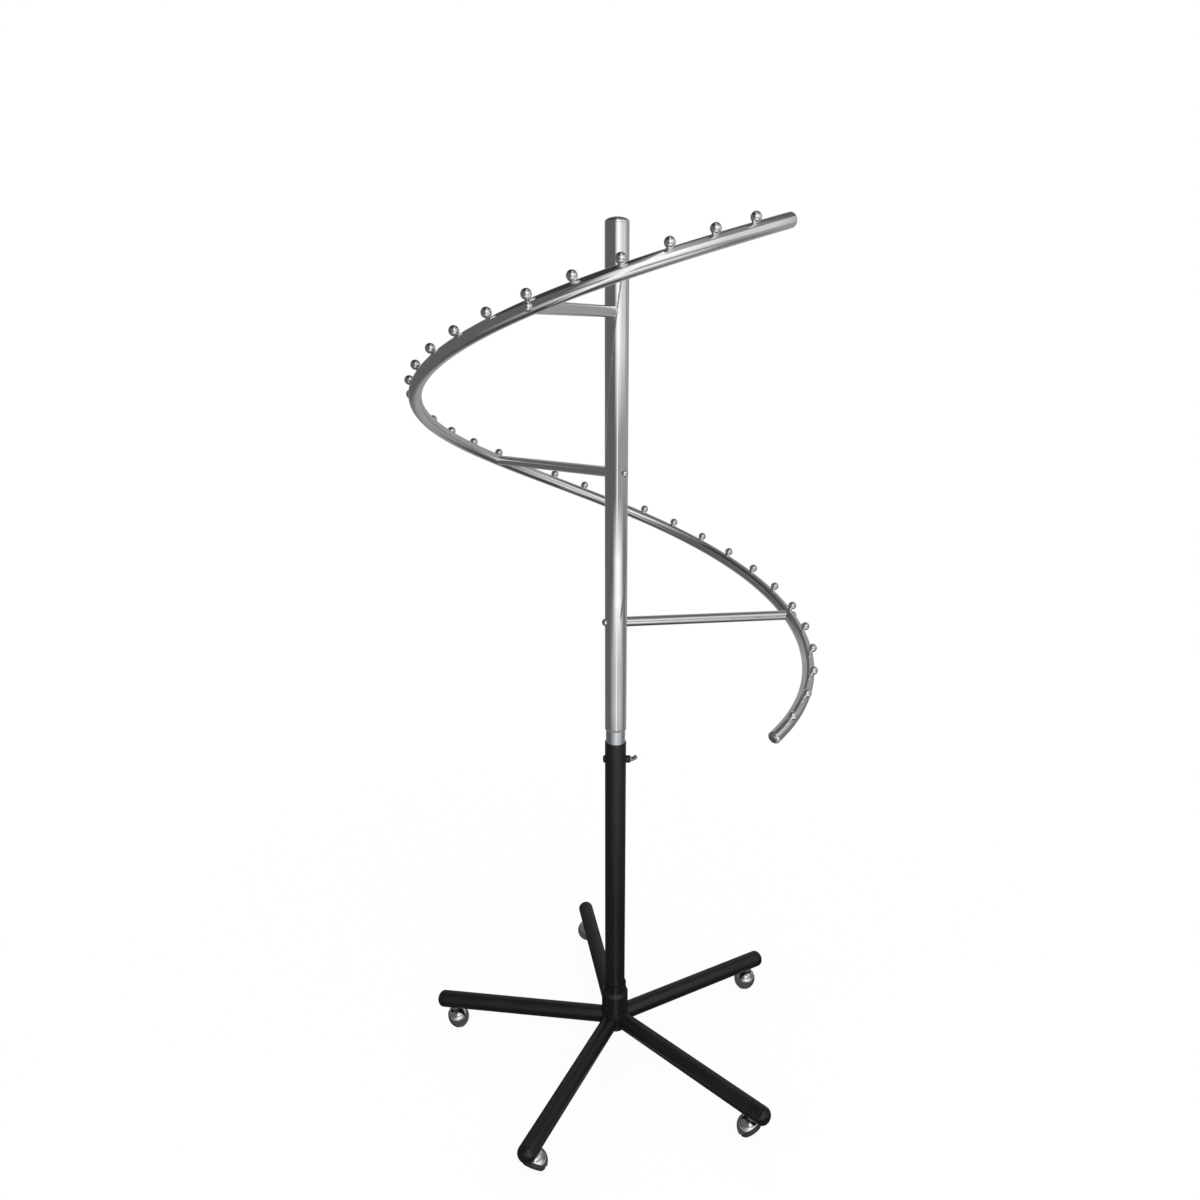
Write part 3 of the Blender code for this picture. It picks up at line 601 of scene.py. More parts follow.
class StarRecipe(RoundRecipe):
    """Repeats a shape evenly round the mast's axis."""

    def __init__(self) -> None:
        """Build the tree."""
        super().__init__("star_repeat")
        self.close(self.around(self.seed))


class WeldRecipe(RoundRecipe):
    """Lays overlapping weld beads along a seam and repeats the seam round the mast's axis."""

    def __init__(self) -> None:
        """Build the tree."""
        super().__init__("weld_beads")
        sheet = self.sheet
        pitch = self.number("Bead Pitch")
        radius = self.number("Bead Radius")
        chance = self.input("Seed", "NodeSocketInt")
        seam = sheet.add("GeometryNodeMeshToCurve", inputs={"Mesh": self.seed})
        spots = sheet.add("GeometryNodeCurveToPoints", {"mode": "LENGTH"}, {"Curve": seam, "Length": pitch})
        bead = sheet.add("GeometryNodeMeshIcoSphere", inputs={"Radius": radius, "Subdivisions": 2})
        swell = sheet.add("FunctionNodeRandomValue", inputs={2: 0.8, 3: 1.15, "Seed": chance}, output=1)
        inputs = {"Points": spots, "Instance": bead, "Scale": swell}
        beads = sheet.add("GeometryNodeInstanceOnPoints", inputs=inputs)
        beads = sheet.add("GeometryNodeRealizeInstances", inputs={"Geometry": beads})
        self.close(self.around(beads))


class AimedRecipe(Recipe):
    """Sets a shape on every point of a mesh, with its local Z along the point's aim."""

    AIM = "aim"

    def __init__(self) -> None:
        """Build the tree."""
        super().__init__("aimed_copies")
        template = self.input("Template", "NodeSocketObject")
        shape = self.sheet.add("GeometryNodeObjectInfo", inputs={"Object": template}, output="Geometry")
        named = {"data_type": "FLOAT_VECTOR"}
        aim = self.sheet.add("GeometryNodeInputNamedAttribute", named, {"Name": self.AIM})
        turn = {"axis": "Z"}
        turn = self.sheet.add("FunctionNodeAlignRotationToVector", turn, {"Vector": aim})
        inputs = {"Points": self.seed, "Instance": shape, "Rotation": turn}
        self.close(self.sheet.add("GeometryNodeInstanceOnPoints", inputs=inputs))


@dataclass
class Workshop:
    """Turns shapes into dressed pieces that ride on the rack's bodies."""

    log: logging.Logger

    def piece(
        self, name: str, shape: Shape, finish: Finish, body: str, stands_for: Sequence[str] = ()
    ) -> None:
        """Make a piece from a shape.

        Args:
            name: The piece's name.
            shape: Its shape, in rack places.
            finish: Its finish.
            body: The body that it rides on.
            stands_for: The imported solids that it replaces.
        """
        mesh = shape.finish(name)
        mesh.materials.append(finish.material())
        self.dress(name, mesh, body, stands_for)

    def dress(
        self, name: str, mesh: bpy.types.Mesh, body: str, stands_for: Sequence[str] = ()
    ) -> None:
        """Make a piece from a mesh that has its material.

        Args:
            name: The piece's name.
            mesh: Its mesh, in rack places.
            body: The body that it rides on.
            stands_for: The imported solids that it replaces.
        """
        mesh.name = name
        mesh.shade_smooth()
        mesh.set_sharp_from_angle(angle=SHARP_ANGLE)
        made = bpy.data.objects.new(name, mesh)
        bpy.context.scene.collection.objects.link(made)
        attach(made, str(body.value) if isinstance(body, Enum) else body)
        if stands_for:
            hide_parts(*stands_for)
        self.log.info("%s: %d faces on %s", name, len(mesh.polygons), body)

    def repaint(self, node: str, finish: Finish) -> None:
        """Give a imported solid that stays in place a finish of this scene."""
        for held in frame["nodes"][node].material_slots:
            held.material = finish.material()
        self.log.info("%s: packed solid in %s", node, finish.name)


def middle(node: str) -> Vector:
    """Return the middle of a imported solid's box."""
    low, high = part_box(node)
    return (low + high) / 2


def saddle(radius: float) -> Callable[[float, float], float]:
    """Return where a tube's end meets an upright cylinder of this radius about the origin."""
    return lambda x, y: math.sqrt(max(radius * radius - x * x, 0.0))


@dataclass
class StarBase:
    """The black base: hub, collar, lower tube, five legs with plugs and sockets, and the clamp's seat."""

    leg_count: int = 5
    leg_azimuth: float = 173.4 * DEG
    leg_radius: float = 17.5 * MM
    leg_wall: float = 1.5 * MM
    leg_reach: float = 381.0 * MM
    leg_rim: float = 0.6 * MM
    plug_dome: float = 15.5 * MM
    plug_seat: float = 0.3 * MM
    plug_lip: float = 1.6 * MM
    plug_edge: float = 0.3 * MM
    plug_spigot: float = 10.0 * MM
    socket_flange: float = 9.0 * MM
    socket_flange_height: float = 1.2 * MM
    socket_bore: float = 4.3 * MM
    socket_wall: float = 2.2 * MM
    caster_reach: float = 359.0 * MM
    hub_radius: float = 28.0 * MM
    hub_chamfer: float = 2.0 * MM
    hub_floor: float = 5.0 * MM
    bolt_hole: float = 4.4 * MM
    collar_lip_radius: float = 24.0 * MM
    collar_shoulder: float = 9.0 * MM
    column_radius: float = 21.0 * MM
    column_wall: float = 1.5 * MM
    column_fit: float = 0.3 * MM
    clamp_boss_radius: float = 7.5 * MM
    clamp_boss_length: float = 8.0 * MM
    clamp_boss_edge: float = 0.9 * MM
    clamp_bore: float = 4.4 * MM
    steady_radius: float = 7.5 * MM
    steady_rim: float = 1.2 * MM
    steady_dome: float = 3.1 * MM
    steady_seat: float = 1.5 * MM
    bead_radius: float = 1.5 * MM
    bead_pitch: float = 1.9 * MM
    bead_seed: int = 7
    sides: int = 96
    small_sides: int = 48

    def build(self, shop: Workshop) -> None:
        """Make and dress every piece of the base."""
        self.leg_height = middle("leg_1").z
        star = StarRecipe()
        repeat = {"Count": self.leg_count, "First Angle": self.leg_azimuth}
        numbers = range(1, self.leg_count + 1)
        for name, shape, finish, node in (
            ("star_legs", self.leg(), COAT, "leg"),
            ("star_leg_plugs", self.plug(), MOULDING, "leg_plug"),
            ("star_stem_sockets", self.socket(), BUSHING, "caster_socket"),
        ):
            mesh = star.run(shape.finish(name), finish, repeat)
            shop.dress(name, mesh, Body.BASE, [f"{node}_{i}" for i in numbers])
        beads = {"Bead Pitch": self.bead_pitch, "Bead Radius": self.bead_radius, "Seed": self.bead_seed}
        mesh = WeldRecipe().run(self.seam(), COAT, repeat | beads)
        shop.dress("hub_weld_beads", mesh, Body.BASE)
        shop.piece("hub_body", self.hub(), COAT, Body.BASE, ["hub_sleeve"])
        shop.piece("hub_shoulder", self.collar(), MOULDING, Body.BASE, ["hub_collar"])
        shop.piece("base_column", self.column(), COAT, Body.BASE, ["lower_tube"])
        shop.piece("clamp_seat", self.clamp_seat(), COAT, Body.BASE, ["clamp_boss"])
        shop.piece("steady_stud", self.steady_stud(), MOULDING, Body.BASE, ["steady_screw"])
        shop.repaint("base_bolt", ZINC)
        shop.repaint("column_nut", ZINC)

    def along_leg(self) -> Matrix:
        """Return the place of a leg that points along +X, with local Z outwards and local Y up."""
        return facing(Vector((1.0, 0.0, 0.0)), Vector((0.0, 0.0, self.leg_height)))

    def leg_root(self, x: float, y: float) -> float:
        """Return where a leg's wall meets the hub, or the leg beside it."""
        half_step = math.pi / self.leg_count
        return max(saddle(self.hub_radius)(x, y), abs(x) / math.tan(half_step))

    def leg(self) -> Shape:
        """Return one leg tube, coped to the hub and mitred to its neighbours."""
        bore = self.leg_radius - self.leg_wall
        end = self.leg_reach
        profile = [(self.leg_radius, self.leg_root)]
        near_hub = [4.0 * self.leg_radius * k / 12 for k in range(4, 13)]
        profile += [(self.leg_radius, self.hub_radius + step) for step in near_hub]
        profile += [(self.leg_radius, end - self.leg_rim), (self.leg_radius - self.leg_rim, end)]
        profile += [(bore, end), (bore, self.leg_root)]
        return Shape().turn(profile, self.sides, self.along_leg(), closed=True)

    def plug(self) -> Shape:
        """Return one leg's domed end plug with its spigot."""
        face = self.leg_reach + self.plug_seat
        edge = self.plug_edge
        spigot = self.leg_radius - self.leg_wall - self.plug_seat
        profile = dome(self.leg_radius, face + self.plug_lip, self.plug_dome - self.plug_lip, 14)
        profile += [(self.leg_radius, face + edge), (self.leg_radius - edge, face), (spigot, face)]
        profile += [(spigot, face - self.plug_spigot), (0.0, face - self.plug_spigot)]
        return Shape().turn(profile, self.small_sides, self.along_leg())

    def socket(self) -> Shape:
        """Return the flange of one caster's socket, with its sleeve up into the leg."""
        low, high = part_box("caster_socket_1")
        sleeve = self.socket_bore + self.socket_wall
        seat = low.z + self.socket_flange_height
        corners = [
            Corner(sleeve, high.z, 0.5 * MM),
            Corner(sleeve, seat),
            Corner(self.socket_flange, seat, 0.3 * MM),
            Corner(self.socket_flange, low.z, 0.4 * MM),
            Corner(self.socket_bore, low.z, 0.3 * MM),
            Corner(self.socket_bore, high.z),
        ]
        place = Matrix.Translation((self.caster_reach, 0.0, 0.0))
        return Shape().ring(corners, self.small_sides, place)

    def seam(self) -> bpy.types.Mesh:
        """Return the line along which one leg is welded to the hub."""
        count = 120
        place = self.along_leg()
        spots = []
        for k in range(count):
            angle = math.tau * k / count
            x = self.leg_radius * math.cos(angle)
            y = self.leg_radius * math.sin(angle)
            spots.append(place @ Vector((x, y, self.leg_root(x, y))))
        mesh = bpy.data.meshes.new("hub_seam")
        mesh.from_pydata(spots, [(k, (k + 1) % count) for k in range(count)], [])
        return mesh

    def hub(self) -> Shape:
        """Return the hub sleeve with its chamfered foot and its floor."""
        low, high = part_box("hub_sleeve")
        bore = self.column_radius + self.column_fit
        bolt_hole = self.bolt_hole
        floor = low.z + self.hub_floor
        corners = [
            Corner(self.hub_radius, high.z, 0.8 * MM),
            Corner(self.hub_radius, low.z + self.hub_chamfer, 0.6 * MM),
            Corner(self.hub_radius - self.hub_chamfer, low.z, 0.6 * MM),
            Corner(bolt_hole, low.z, 0.3 * MM),
            Corner(bolt_hole, floor),
            Corner(bore, floor),
            Corner(bore, high.z, 0.3 * MM),
        ]
        return Shape().ring(corners, self.sides)

    def collar(self) -> Shape:
        """Return the collar ring, whose shoulder slopes from the hub up to a lip."""
        low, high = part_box("hub_collar")
        bore = self.column_radius + self.column_fit
        corners = [
            Corner(self.collar_lip_radius, high.z, 1.0 * MM),
            Corner(self.collar_lip_radius, low.z + self.collar_shoulder, 2.5 * MM),
            Corner(self.hub_radius, low.z + 0.8 * MM, 0.4 * MM),
            Corner(self.hub_radius, low.z, 0.2 * MM),
            Corner(bore, low.z),
            Corner(bore, high.z, 0.4 * MM),
        ]
        return Shape().ring(corners, self.sides)

    def column(self) -> Shape:
        """Return the lower tube with its rounded rim."""
        low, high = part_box("lower_tube")
        bore = self.column_radius - self.column_wall
        corners = [
            Corner(self.column_radius, high.z, 0.7 * MM),
            Corner(self.column_radius, low.z),
            Corner(bore, low.z),
            Corner(bore, high.z, 0.5 * MM),
        ]
        return Shape().ring(corners, self.sides)

    def clamp_seat(self) -> Shape:
        """Return the threaded boss on the lower tube, which the clamp's screw runs in."""
        place = facing(Vector((1.0, 0.0, 0.0)), Vector((0.0, 0.0, middle("clamp_boss").z)))
        end = self.column_radius + self.clamp_boss_length
        corners = [
            Corner(self.clamp_boss_radius, self.column_radius),
            Corner(self.clamp_boss_radius, end, self.clamp_boss_edge),
            Corner(self.clamp_bore, end),
        ]
        foot = saddle(self.column_radius)
        profile = [(self.clamp_boss_radius, foot), *rounded(corners)[1:], (self.clamp_bore, foot)]
        return Shape().turn(profile, self.small_sides, place, closed=True)

    def steady_stud(self) -> Shape:
        """Return the low domed stud across the tube from the clamp."""
        place = facing(Vector((-1.0, 0.0, 0.0)), Vector((0.0, 0.0, middle("steady_screw").z)))
        seat = self.column_radius - self.steady_seat
        profile = dome(self.steady_radius, self.column_radius + self.steady_rim, self.steady_dome, 10)
        profile += [(self.steady_radius, seat), (0.0, seat)]
        return Shape().turn(profile, self.small_sides, place)


@dataclass
class Caster:
    """One hooded caster: a domed hood with its stem, and a tilted wheel that rolls on its cone."""

    number: int
    hood_radius: float = 25.0 * MM
    hood_wall: float = 1.4 * MM
    hood_setback: float = 4.0 * MM
    stem_radius: float = 4.0 * MM
    boss_radius: float = 6.0 * MM
    boss_depth: float = 4.3 * MM
    stem_length: float = 28.0 * MM
    stem_gap: float = 0.8 * MM
    wheel_radius: float = 22.65 * MM
    tread_edge: float = 2.5 * MM
    tread_flat: float = 5.5 * MM
    inner_width: float = 6.0 * MM
    face_crown: float = 2.0 * MM
    crown_radius: float = 4.6 * MM
    crown_foot: float = 5.4 * MM
    dish_radius: float = 13.5 * MM
    dish_depth: float = 0.9 * MM
    bore: float = 3.3 * MM
    bore_depth: float = 3.5 * MM
    sides: int = 72

    def build(self, shop: Workshop) -> None:
        """Make and dress the hood and the wheel, and finish the axle."""
        joints = {joint["name"]: joint for joint in frame["joints"]}
        spin = joints[f"wheel_spin_{self.number}"]
        self.swivel = Vector(joints[f"caster_swivel_{self.number}"]["pos_m"])
        self.axis = Vector(spin["axis"])
        self.centre = Vector(spin["pos_m"])
        hood = f"caster_hood_{self.number}"
        shop.piece(f"caster_dome_{self.number}", self.hood(), CHROME, f"caster_{self.number}", [hood])
        wheel = f"caster_wheel_{self.number}"
        shop.piece(f"caster_tyre_{self.number}", self.wheel(), TYRE, f"wheel_{self.number}", [wheel])
        shop.repaint(f"caster_axle_{self.number}", ZINC)

    def hood(self) -> Shape:
        """Return the hood, a domed shell with a rolled rim, and the stem that it swivels on."""
        centre = self.centre - self.hood_setback * self.axis
        inner = self.hood_radius - self.hood_wall
        bead = self.hood_wall / 2
        rim = [(self.hood_radius - bead + bead * math.cos(turn), bead * math.sin(turn))
               for turn in (math.pi * k / 8 for k in range(9))]
        profile = arc(self.hood_radius, math.pi, 0.5 * math.pi, 24)[:-1] + rim
        profile += arc(inner, 0.5 * math.pi, math.pi, 24)[1:]
        shape = Shape().turn(profile, self.sides, facing(self.axis, centre))
        top = centre.z + self.hood_radius + self.stem_gap
        corners = [
            Corner(0.0, top + self.stem_length),
            Corner(self.stem_radius, top + self.stem_length, 0.6 * MM),
            Corner(self.stem_radius, top, 0.3 * MM),
            Corner(self.boss_radius, top, 0.4 * MM),
            Corner(self.boss_radius, top - self.boss_depth),
            Corner(0.0, top - self.boss_depth),
        ]
        place = Matrix.Translation((self.swivel.x, self.swivel.y, 0.0))
        return shape.turn(rounded(corners), 32, place)

    def wheel(self) -> Shape:
        """Return the wheel, with its conical tread, its dished outer face and its blind bore."""
        slope = self.tread_flat * math.sqrt(0.5)
        rim = self.wheel_radius - slope
        face = self.tread_edge + slope
        corners = [
            Corner(0.0, face + self.face_crown),
            Corner(self.crown_radius, face + self.face_crown, 0.8 * MM),
            Corner(self.crown_foot, face + 0.4 * MM, 0.5 * MM),
            Corner(self.dish_radius, face - self.dish_depth, 2.0 * MM),
            Corner(rim - 2.6 * MM, face - 0.7 * MM, 0.6 * MM),
            Corner(rim - 1.9 * MM, face, 0.5 * MM),
            Corner(rim, face, 0.7 * MM),
            Corner(self.wheel_radius, self.tread_edge, 1.2 * MM),
            Corner(self.wheel_radius, 2.0 * MM - self.inner_width, 1.0 * MM),
            Corner(self.wheel_radius - 2.0 * MM, -self.inner_width, 0.6 * MM),
            Corner(self.bore, -self.inner_width),
            Corner(self.bore, self.bore_depth),
            Corner(0.0, self.bore_depth),
        ]
        return Shape().turn(rounded(corners), self.sides, facing(self.axis, self.centre))


@dataclass
class ClampHandle:
    """The lever that tightens the height clamp."""

    start: float = 29.3 * MM
    head_radius: float = 6.0 * MM
    head_length: float = 5.0 * MM
    rod_radius: float = 4.0 * MM
    rod_length: float = 10.5 * MM
    rise: float = 40.0 * DEG
    bend_radius: float = 9.0 * MM
    tip: float = 3.0 * MM
    sides: int = 40

    def build(self, shop: Workshop) -> None:
        """Make and dress the lever, and finish its screw."""
        shop.piece("clamp_handle", self.lever(), ZINC, Body.CLAMP, ["clamp_lever"])
        shop.repaint("clamp_screw", ZINC)

    def lever(self) -> Shape:
        """Return the bent rod with its wider head."""
        height = middle("clamp_screw").z
        out = Vector((1.0, 0.0, 0.0))
        reach = self.bend_radius * math.tan(self.rise / 2)
        bend_start = self.start + self.head_length - reach
        stations = [(Vector((self.start, 0.0, height)), out, 0.0)]
        head_end = self.start + self.head_length * 0.55
        for x, radius in (
            (self.start, self.head_radius - 0.6 * MM),
            (self.start + 0.6 * MM, self.head_radius),
            (head_end - 0.8 * MM, self.head_radius),
            (head_end, self.head_radius - 0.7 * MM),
            (head_end + 0.02 * MM, self.rod_radius),
        ):
            stations.append((Vector((min(x, bend_start), 0.0, height)), out, radius))
        centre = Vector((bend_start, 0.0, height + self.bend_radius))
        for k in range(13):
            angle = self.rise * k / 12
            along = Vector((math.cos(angle), 0.0, math.sin(angle)))
            across = Vector((math.sin(angle), 0.0, -math.cos(angle)))
            stations.append((centre + self.bend_radius * across, along, self.rod_radius))
        end = stations[-1][0] + along * (self.rod_length - reach - self.tip)
        for k in range(9):
            angle = 0.5 * math.pi * k / 8
            radius = self.rod_radius * math.cos(angle) if k < 8 else 0.0
            stations.append((end + along * self.tip * math.sin(angle), along, radius))
        return Shape().sweep(stations, Vector((0.0, 1.0, 0.0)), self.sides)


@dataclass
class SlidingPost:
    """The bare post between the mast and the lower tube, and what it carries inside."""

    radius: float = 19.0 * MM
    wall: float = 2.0 * MM
    sides: int = 96

    def build(self, shop: Workshop) -> None:
        """Make and dress the post, and finish the pieces that it hides."""
        low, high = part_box("inner_post")
        bore = self.radius - self.wall
        corners = [
            Corner(self.radius, high.z, 0.8 * MM),
            Corner(self.radius, low.z, 0.8 * MM),
            Corner(bore, low.z),
            Corner(bore, high.z),
        ]
        shape = Shape().ring(corners, self.sides)
        shop.piece("sliding_post", shape, POST_CHROME, Body.POST, ["inner_post"])
        shop.repaint("post_plug", BUSHING)
        shop.repaint("thrust_ball", ZINC)


@dataclass
class Mast:
    """The turning mast: a chromed tube, its low domed cap and the bush in its mouth."""

    radius: float = 21.0 * MM
    wall: float = 1.0 * MM
    cap_dome: float = 8.0 * MM
    cap_lip: float = 2.0 * MM
    cap_edge: float = 0.3 * MM
    cap_spigot: float = 18.0 * MM
    seat: float = 0.3 * MM
    bush_bore: float = 19.25 * MM
    bush_flange: float = 3.0 * MM
    sides: int = 128

    def build(self, shop: Workshop) -> None:
        """Make and dress the mast's pieces, and finish the bearing inside."""
        low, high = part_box("mast_tube")
        bore = self.radius - self.wall
        corners = [
            Corner(self.radius, high.z, 0.4 * MM),
            Corner(self.radius, low.z, 0.4 * MM),
            Corner(bore, low.z, 0.3 * MM),
            Corner(bore, high.z),
        ]
        shape = Shape().ring(corners, self.sides)
        shop.piece("mast_shell", shape, CHROME, Body.CAROUSEL, ["mast_tube"])
        shop.piece("mast_crown", self.cap(high.z), CHROME, Body.CAROUSEL, ["mast_cap"])
        shop.piece("mast_mouth_bush", self.bush(), BUSHING, Body.CAROUSEL, ["lower_bush"])
        shop.repaint("upper_bush", BUSHING)
        shop.repaint("mast_bearing_plug", BUSHING)

    def cap(self, mast_top: float) -> Shape:
        """Return the domed cap with its lip and its spigot."""
        face = mast_top + self.seat
        crown = face + self.cap_lip
        spigot = self.radius - self.wall - self.seat
        profile = dome(self.radius, crown, self.cap_dome, 16)
        profile += [(self.radius, face + self.cap_edge), (self.radius - self.cap_edge, face)]
        profile += [(spigot, face)]
        profile += [(spigot, face - self.cap_spigot), (0.0, face - self.cap_spigot)]
        return Shape().turn(profile, self.sides)

    def bush(self) -> Shape:
        """Return the flanged bush that the mast turns on the post with."""
        low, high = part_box("lower_bush")
        sleeve = self.radius - self.wall - 0.25 * MM
        flange = low.z + self.bush_flange
        corners = [
            Corner(sleeve, high.z, 0.2 * MM),
            Corner(sleeve, flange),
            Corner(self.radius, flange, 0.4 * MM),
            Corner(self.radius, low.z, 0.5 * MM),
            Corner(self.bush_bore, low.z, 0.2 * MM),
            Corner(self.bush_bore, high.z),
        ]
        return Shape().ring(corners, self.sides)


@dataclass(frozen=True)
class SpiralRule:
    """The rule that the rail follows: one turn down round the mast, whose slope eases at both ends."""

    start: float = -44.0 * DEG
    turn: float = 359.2 * DEG
    upper_radius: float = 341.0 * MM
    lower_radius: float = 362.0 * MM
    upper_height: float = 893.0 * MM
    lower_height: float = 96.0 * MM
    ease: float = 0.183

    def point(self, angle: float) -> Vector:
        """Return the rail's centre at an angle from its upper end."""
        share = angle / self.turn
        radius = self.upper_radius + (self.lower_radius - self.upper_radius) * share
        swing = 2.0 * share - 1.0
        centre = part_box("mast_tube")[0].z + (self.upper_height + self.lower_height) / 2
        half_drop = (self.upper_height - self.lower_height) / 2
        height = centre - half_drop * ((1.0 + self.ease) * swing - self.ease * swing**3)
        azimuth = self.start - angle
        return Vector((radius * math.cos(azimuth), radius * math.sin(azimuth), height))

    def tangent(self, angle: float) -> Vector:
        """Return the rail's downhill direction at an angle from its upper end."""
        step = 0.01 * DEG
        return (self.point(angle + step) - self.point(angle - step)).normalized()

    def inputs(self) -> dict[str, float]:
        """Return the rule's sizes under the names that the node trees give them."""
        return {
            "Mast Foot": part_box("mast_tube")[0].z,
            "Start": self.start,
            "Turn": self.turn,
            "Upper Radius": self.upper_radius,
            "Lower Radius": self.lower_radius,
            "Upper Height": self.upper_height,
            "Lower Height": self.lower_height,
            "Ease": self.ease,
        }


class SpiralRecipe(Recipe):
    """Base of the trees that follow the spiral rule."""

    def __init__(self, name: str) -> None:
        """Add the rule's sizes as inputs."""
        super().__init__(name)
        self.sizes = {size: self.number(size) for size in SpiralRule().inputs()}

    def follow(self, angle: Wire) -> tuple[Wire, Wire]:
        """Work out the rule at an angle.

        Args:
            angle: The angle from the rail's upper end.

        Returns:
            The rail's centre and its outward direction.
        """
        size = self.sizes
        share = angle / size["Turn"]
        radius = size["Upper Radius"] + (size["Lower Radius"] - size["Upper Radius"]) * share
        swing = share * 2.0 - 1.0
        centre = size["Mast Foot"] + (size["Upper Height"] + size["Lower Height"]) * 0.5
        half_drop = (size["Upper Height"] - size["Lower Height"]) * 0.5
        eased = (1.0 + size["Ease"]) * swing - size["Ease"] * swing * swing * swing
        azimuth = size["Start"] - angle
        x = self.sheet.maths("COSINE", azimuth)
        y = self.sheet.maths("SINE", azimuth)
        spot = {"X": radius * x, "Y": radius * y, "Z": centre - half_drop * eased}
        return (
            self.sheet.add("ShaderNodeCombineXYZ", inputs=spot),
            self.sheet.add("ShaderNodeCombineXYZ", inputs={"X": x, "Y": y}),
        )


class RailTubeRecipe(SpiralRecipe):
    """Sweeps the rail's round tube along the spiral rule."""

    def __init__(self) -> None:
        """Build the tree."""
        super().__init__("spiral_tube")
        sheet = self.sheet
        tube = self.number("Tube Radius")
        rings = self.input("Rings", "NodeSocketInt")
        sides = self.input("Sides", "NodeSocketInt")
        path = sheet.add("GeometryNodeCurvePrimitiveLine")
        path = sheet.add("GeometryNodeResampleCurve", inputs={"Curve": path, "Count": rings})
        factor = sheet.add("GeometryNodeSplineParameter", output="Factor")
        spot, _ = self.follow(factor * self.sizes["Turn"])
        path = sheet.add("GeometryNodeSetPosition", inputs={"Geometry": path, "Position": spot})
        ring = sheet.add("GeometryNodeCurvePrimitiveCircle", inputs={"Resolution": sides, "Radius": tube})
        inputs = {"Curve": path, "Profile Curve": ring, "Fill Caps": True}
        self.close(sheet.add("GeometryNodeCurveToMesh", inputs=inputs))


class BallStopRecipe(SpiralRecipe):
    """Stands ball stops along the spiral rule, each leaning outwards from upright."""

    def __init__(self) -> None:
        """Build the tree."""
        super().__init__("ball_stops")
        sheet = self.sheet
        count = self.input("Count", "NodeSocketInt")
        first = self.number("First Angle")
        step = self.number("Angle Step")
        lean = self.number("Lean")
        spots = sheet.add("GeometryNodeMeshLine", inputs={"Count": count, "Offset": (0.0, 0.0, 0.0)})
        index = sheet.add("GeometryNodeInputIndex")
        spot, outward = self.follow(first + step * index)
        spots = sheet.add("GeometryNodeSetPosition", inputs={"Geometry": spots, "Position": spot})
        parts = sheet.add("ShaderNodeSeparateXYZ", inputs={"Vector": outward}, output="X")
        sine = sheet.maths("SINE", lean)
        aim = {"X": parts * sine, "Y": parts.sibling("Y") * sine, "Z": sheet.maths("COSINE", lean)}
        aim = sheet.add("ShaderNodeCombineXYZ", inputs=aim)
        turn = sheet.add("FunctionNodeAlignRotationToVector", {"axis": "Z"}, {"Vector": aim})
        inputs = {"Points": spots, "Instance": self.seed, "Rotation": turn}
        self.close(sheet.add("GeometryNodeInstanceOnPoints", inputs=inputs))


@dataclass
class SpiralRail:
    """The chromed rail: one turn of tube with ball stops welded along its top and a plug in each end."""

    rule: SpiralRule
    radius: float = 11.1 * MM
    rings: int = 900
    tube_sides: int = 56
    plug_dome: float = 5.0 * MM
    plug_lip: float = 0.8 * MM
    plug_seat: float = 0.3 * MM
    ball_radius: float = 8.0 * MM
    ball_standoff: float = 19.6 * MM
    ball_lean: float = 27.0 * DEG
    stud_radius: float = 3.0 * MM
    weld_flare: float = 1.6 * MM
    ball_count: int = 33
    ball_first: float = 13.4 * DEG
    ball_step: float = 10.6 * DEG
    ball_sides: int = 36

    def build(self, shop: Workshop) -> None:
        """Make and dress the tube, its ball stops and its end plugs."""
        sizes = self.rule.inputs()
        tube = {"Tube Radius": self.radius, "Rings": self.rings, "Sides": self.tube_sides}
        seed = bpy.data.meshes.new("rail_seed")
        mesh = RailTubeRecipe().run(seed, CHROME, sizes | tube)
        shop.dress("rail_tube", mesh, Body.CAROUSEL, ["spiral_rail"])
        stops = {"Count": self.ball_count, "First Angle": self.ball_first}
        stops |= {"Angle Step": self.ball_step, "Lean": self.ball_lean}
        mesh = BallStopRecipe().run(self.ball_stop().finish("ball_stop"), CHROME, sizes | stops)
        shop.dress("rail_ball_stops", mesh, Body.CAROUSEL)
        for end, angle, sense in (("top", 0.0, -1.0), ("bottom", self.rule.turn, 1.0)):
            place = facing(sense * self.rule.tangent(angle), self.rule.point(angle))
            plug = Shape().turn(self.plug(), self.tube_sides, place)
            shop.piece(f"rail_end_plug_{end}", plug, CHROME, Body.CAROUSEL, [f"rail_plug_{end}"])

    def ball_stop(self) -> Shape:
        """Return one ball on its stud, whose foot flares into the weld on the rail."""
        surface = self.radius
        flare = self.weld_flare
        neck = math.pi - math.asin(self.stud_radius / self.ball_radius)
        profile: list[tuple[float, Place]] = [(0.0, surface - 3.0 * MM)]
        profile.append((self.stud_radius + flare, surface - 3.0 * MM))
        for k in range(7):
            angle = 0.5 * math.pi * k / 6
            radius = self.stud_radius + flare * (1.0 - math.sin(angle))
            profile.append((radius, surface - 0.5 * MM + flare * (1.0 - math.cos(angle))))
        profile += arc(self.ball_radius, neck, 0.0, 22, self.ball_standoff)
        return Shape().turn(profile, self.ball_sides)

    def plug(self) -> list[tuple[float, Place]]:
        """Return the profile of an end plug, domed outwards from the tube's end."""
        profile = dome(self.radius, self.plug_seat + self.plug_lip, self.plug_dome - self.plug_lip, 12)
        return profile + [(self.radius, self.plug_seat), (0.0, self.plug_seat)]


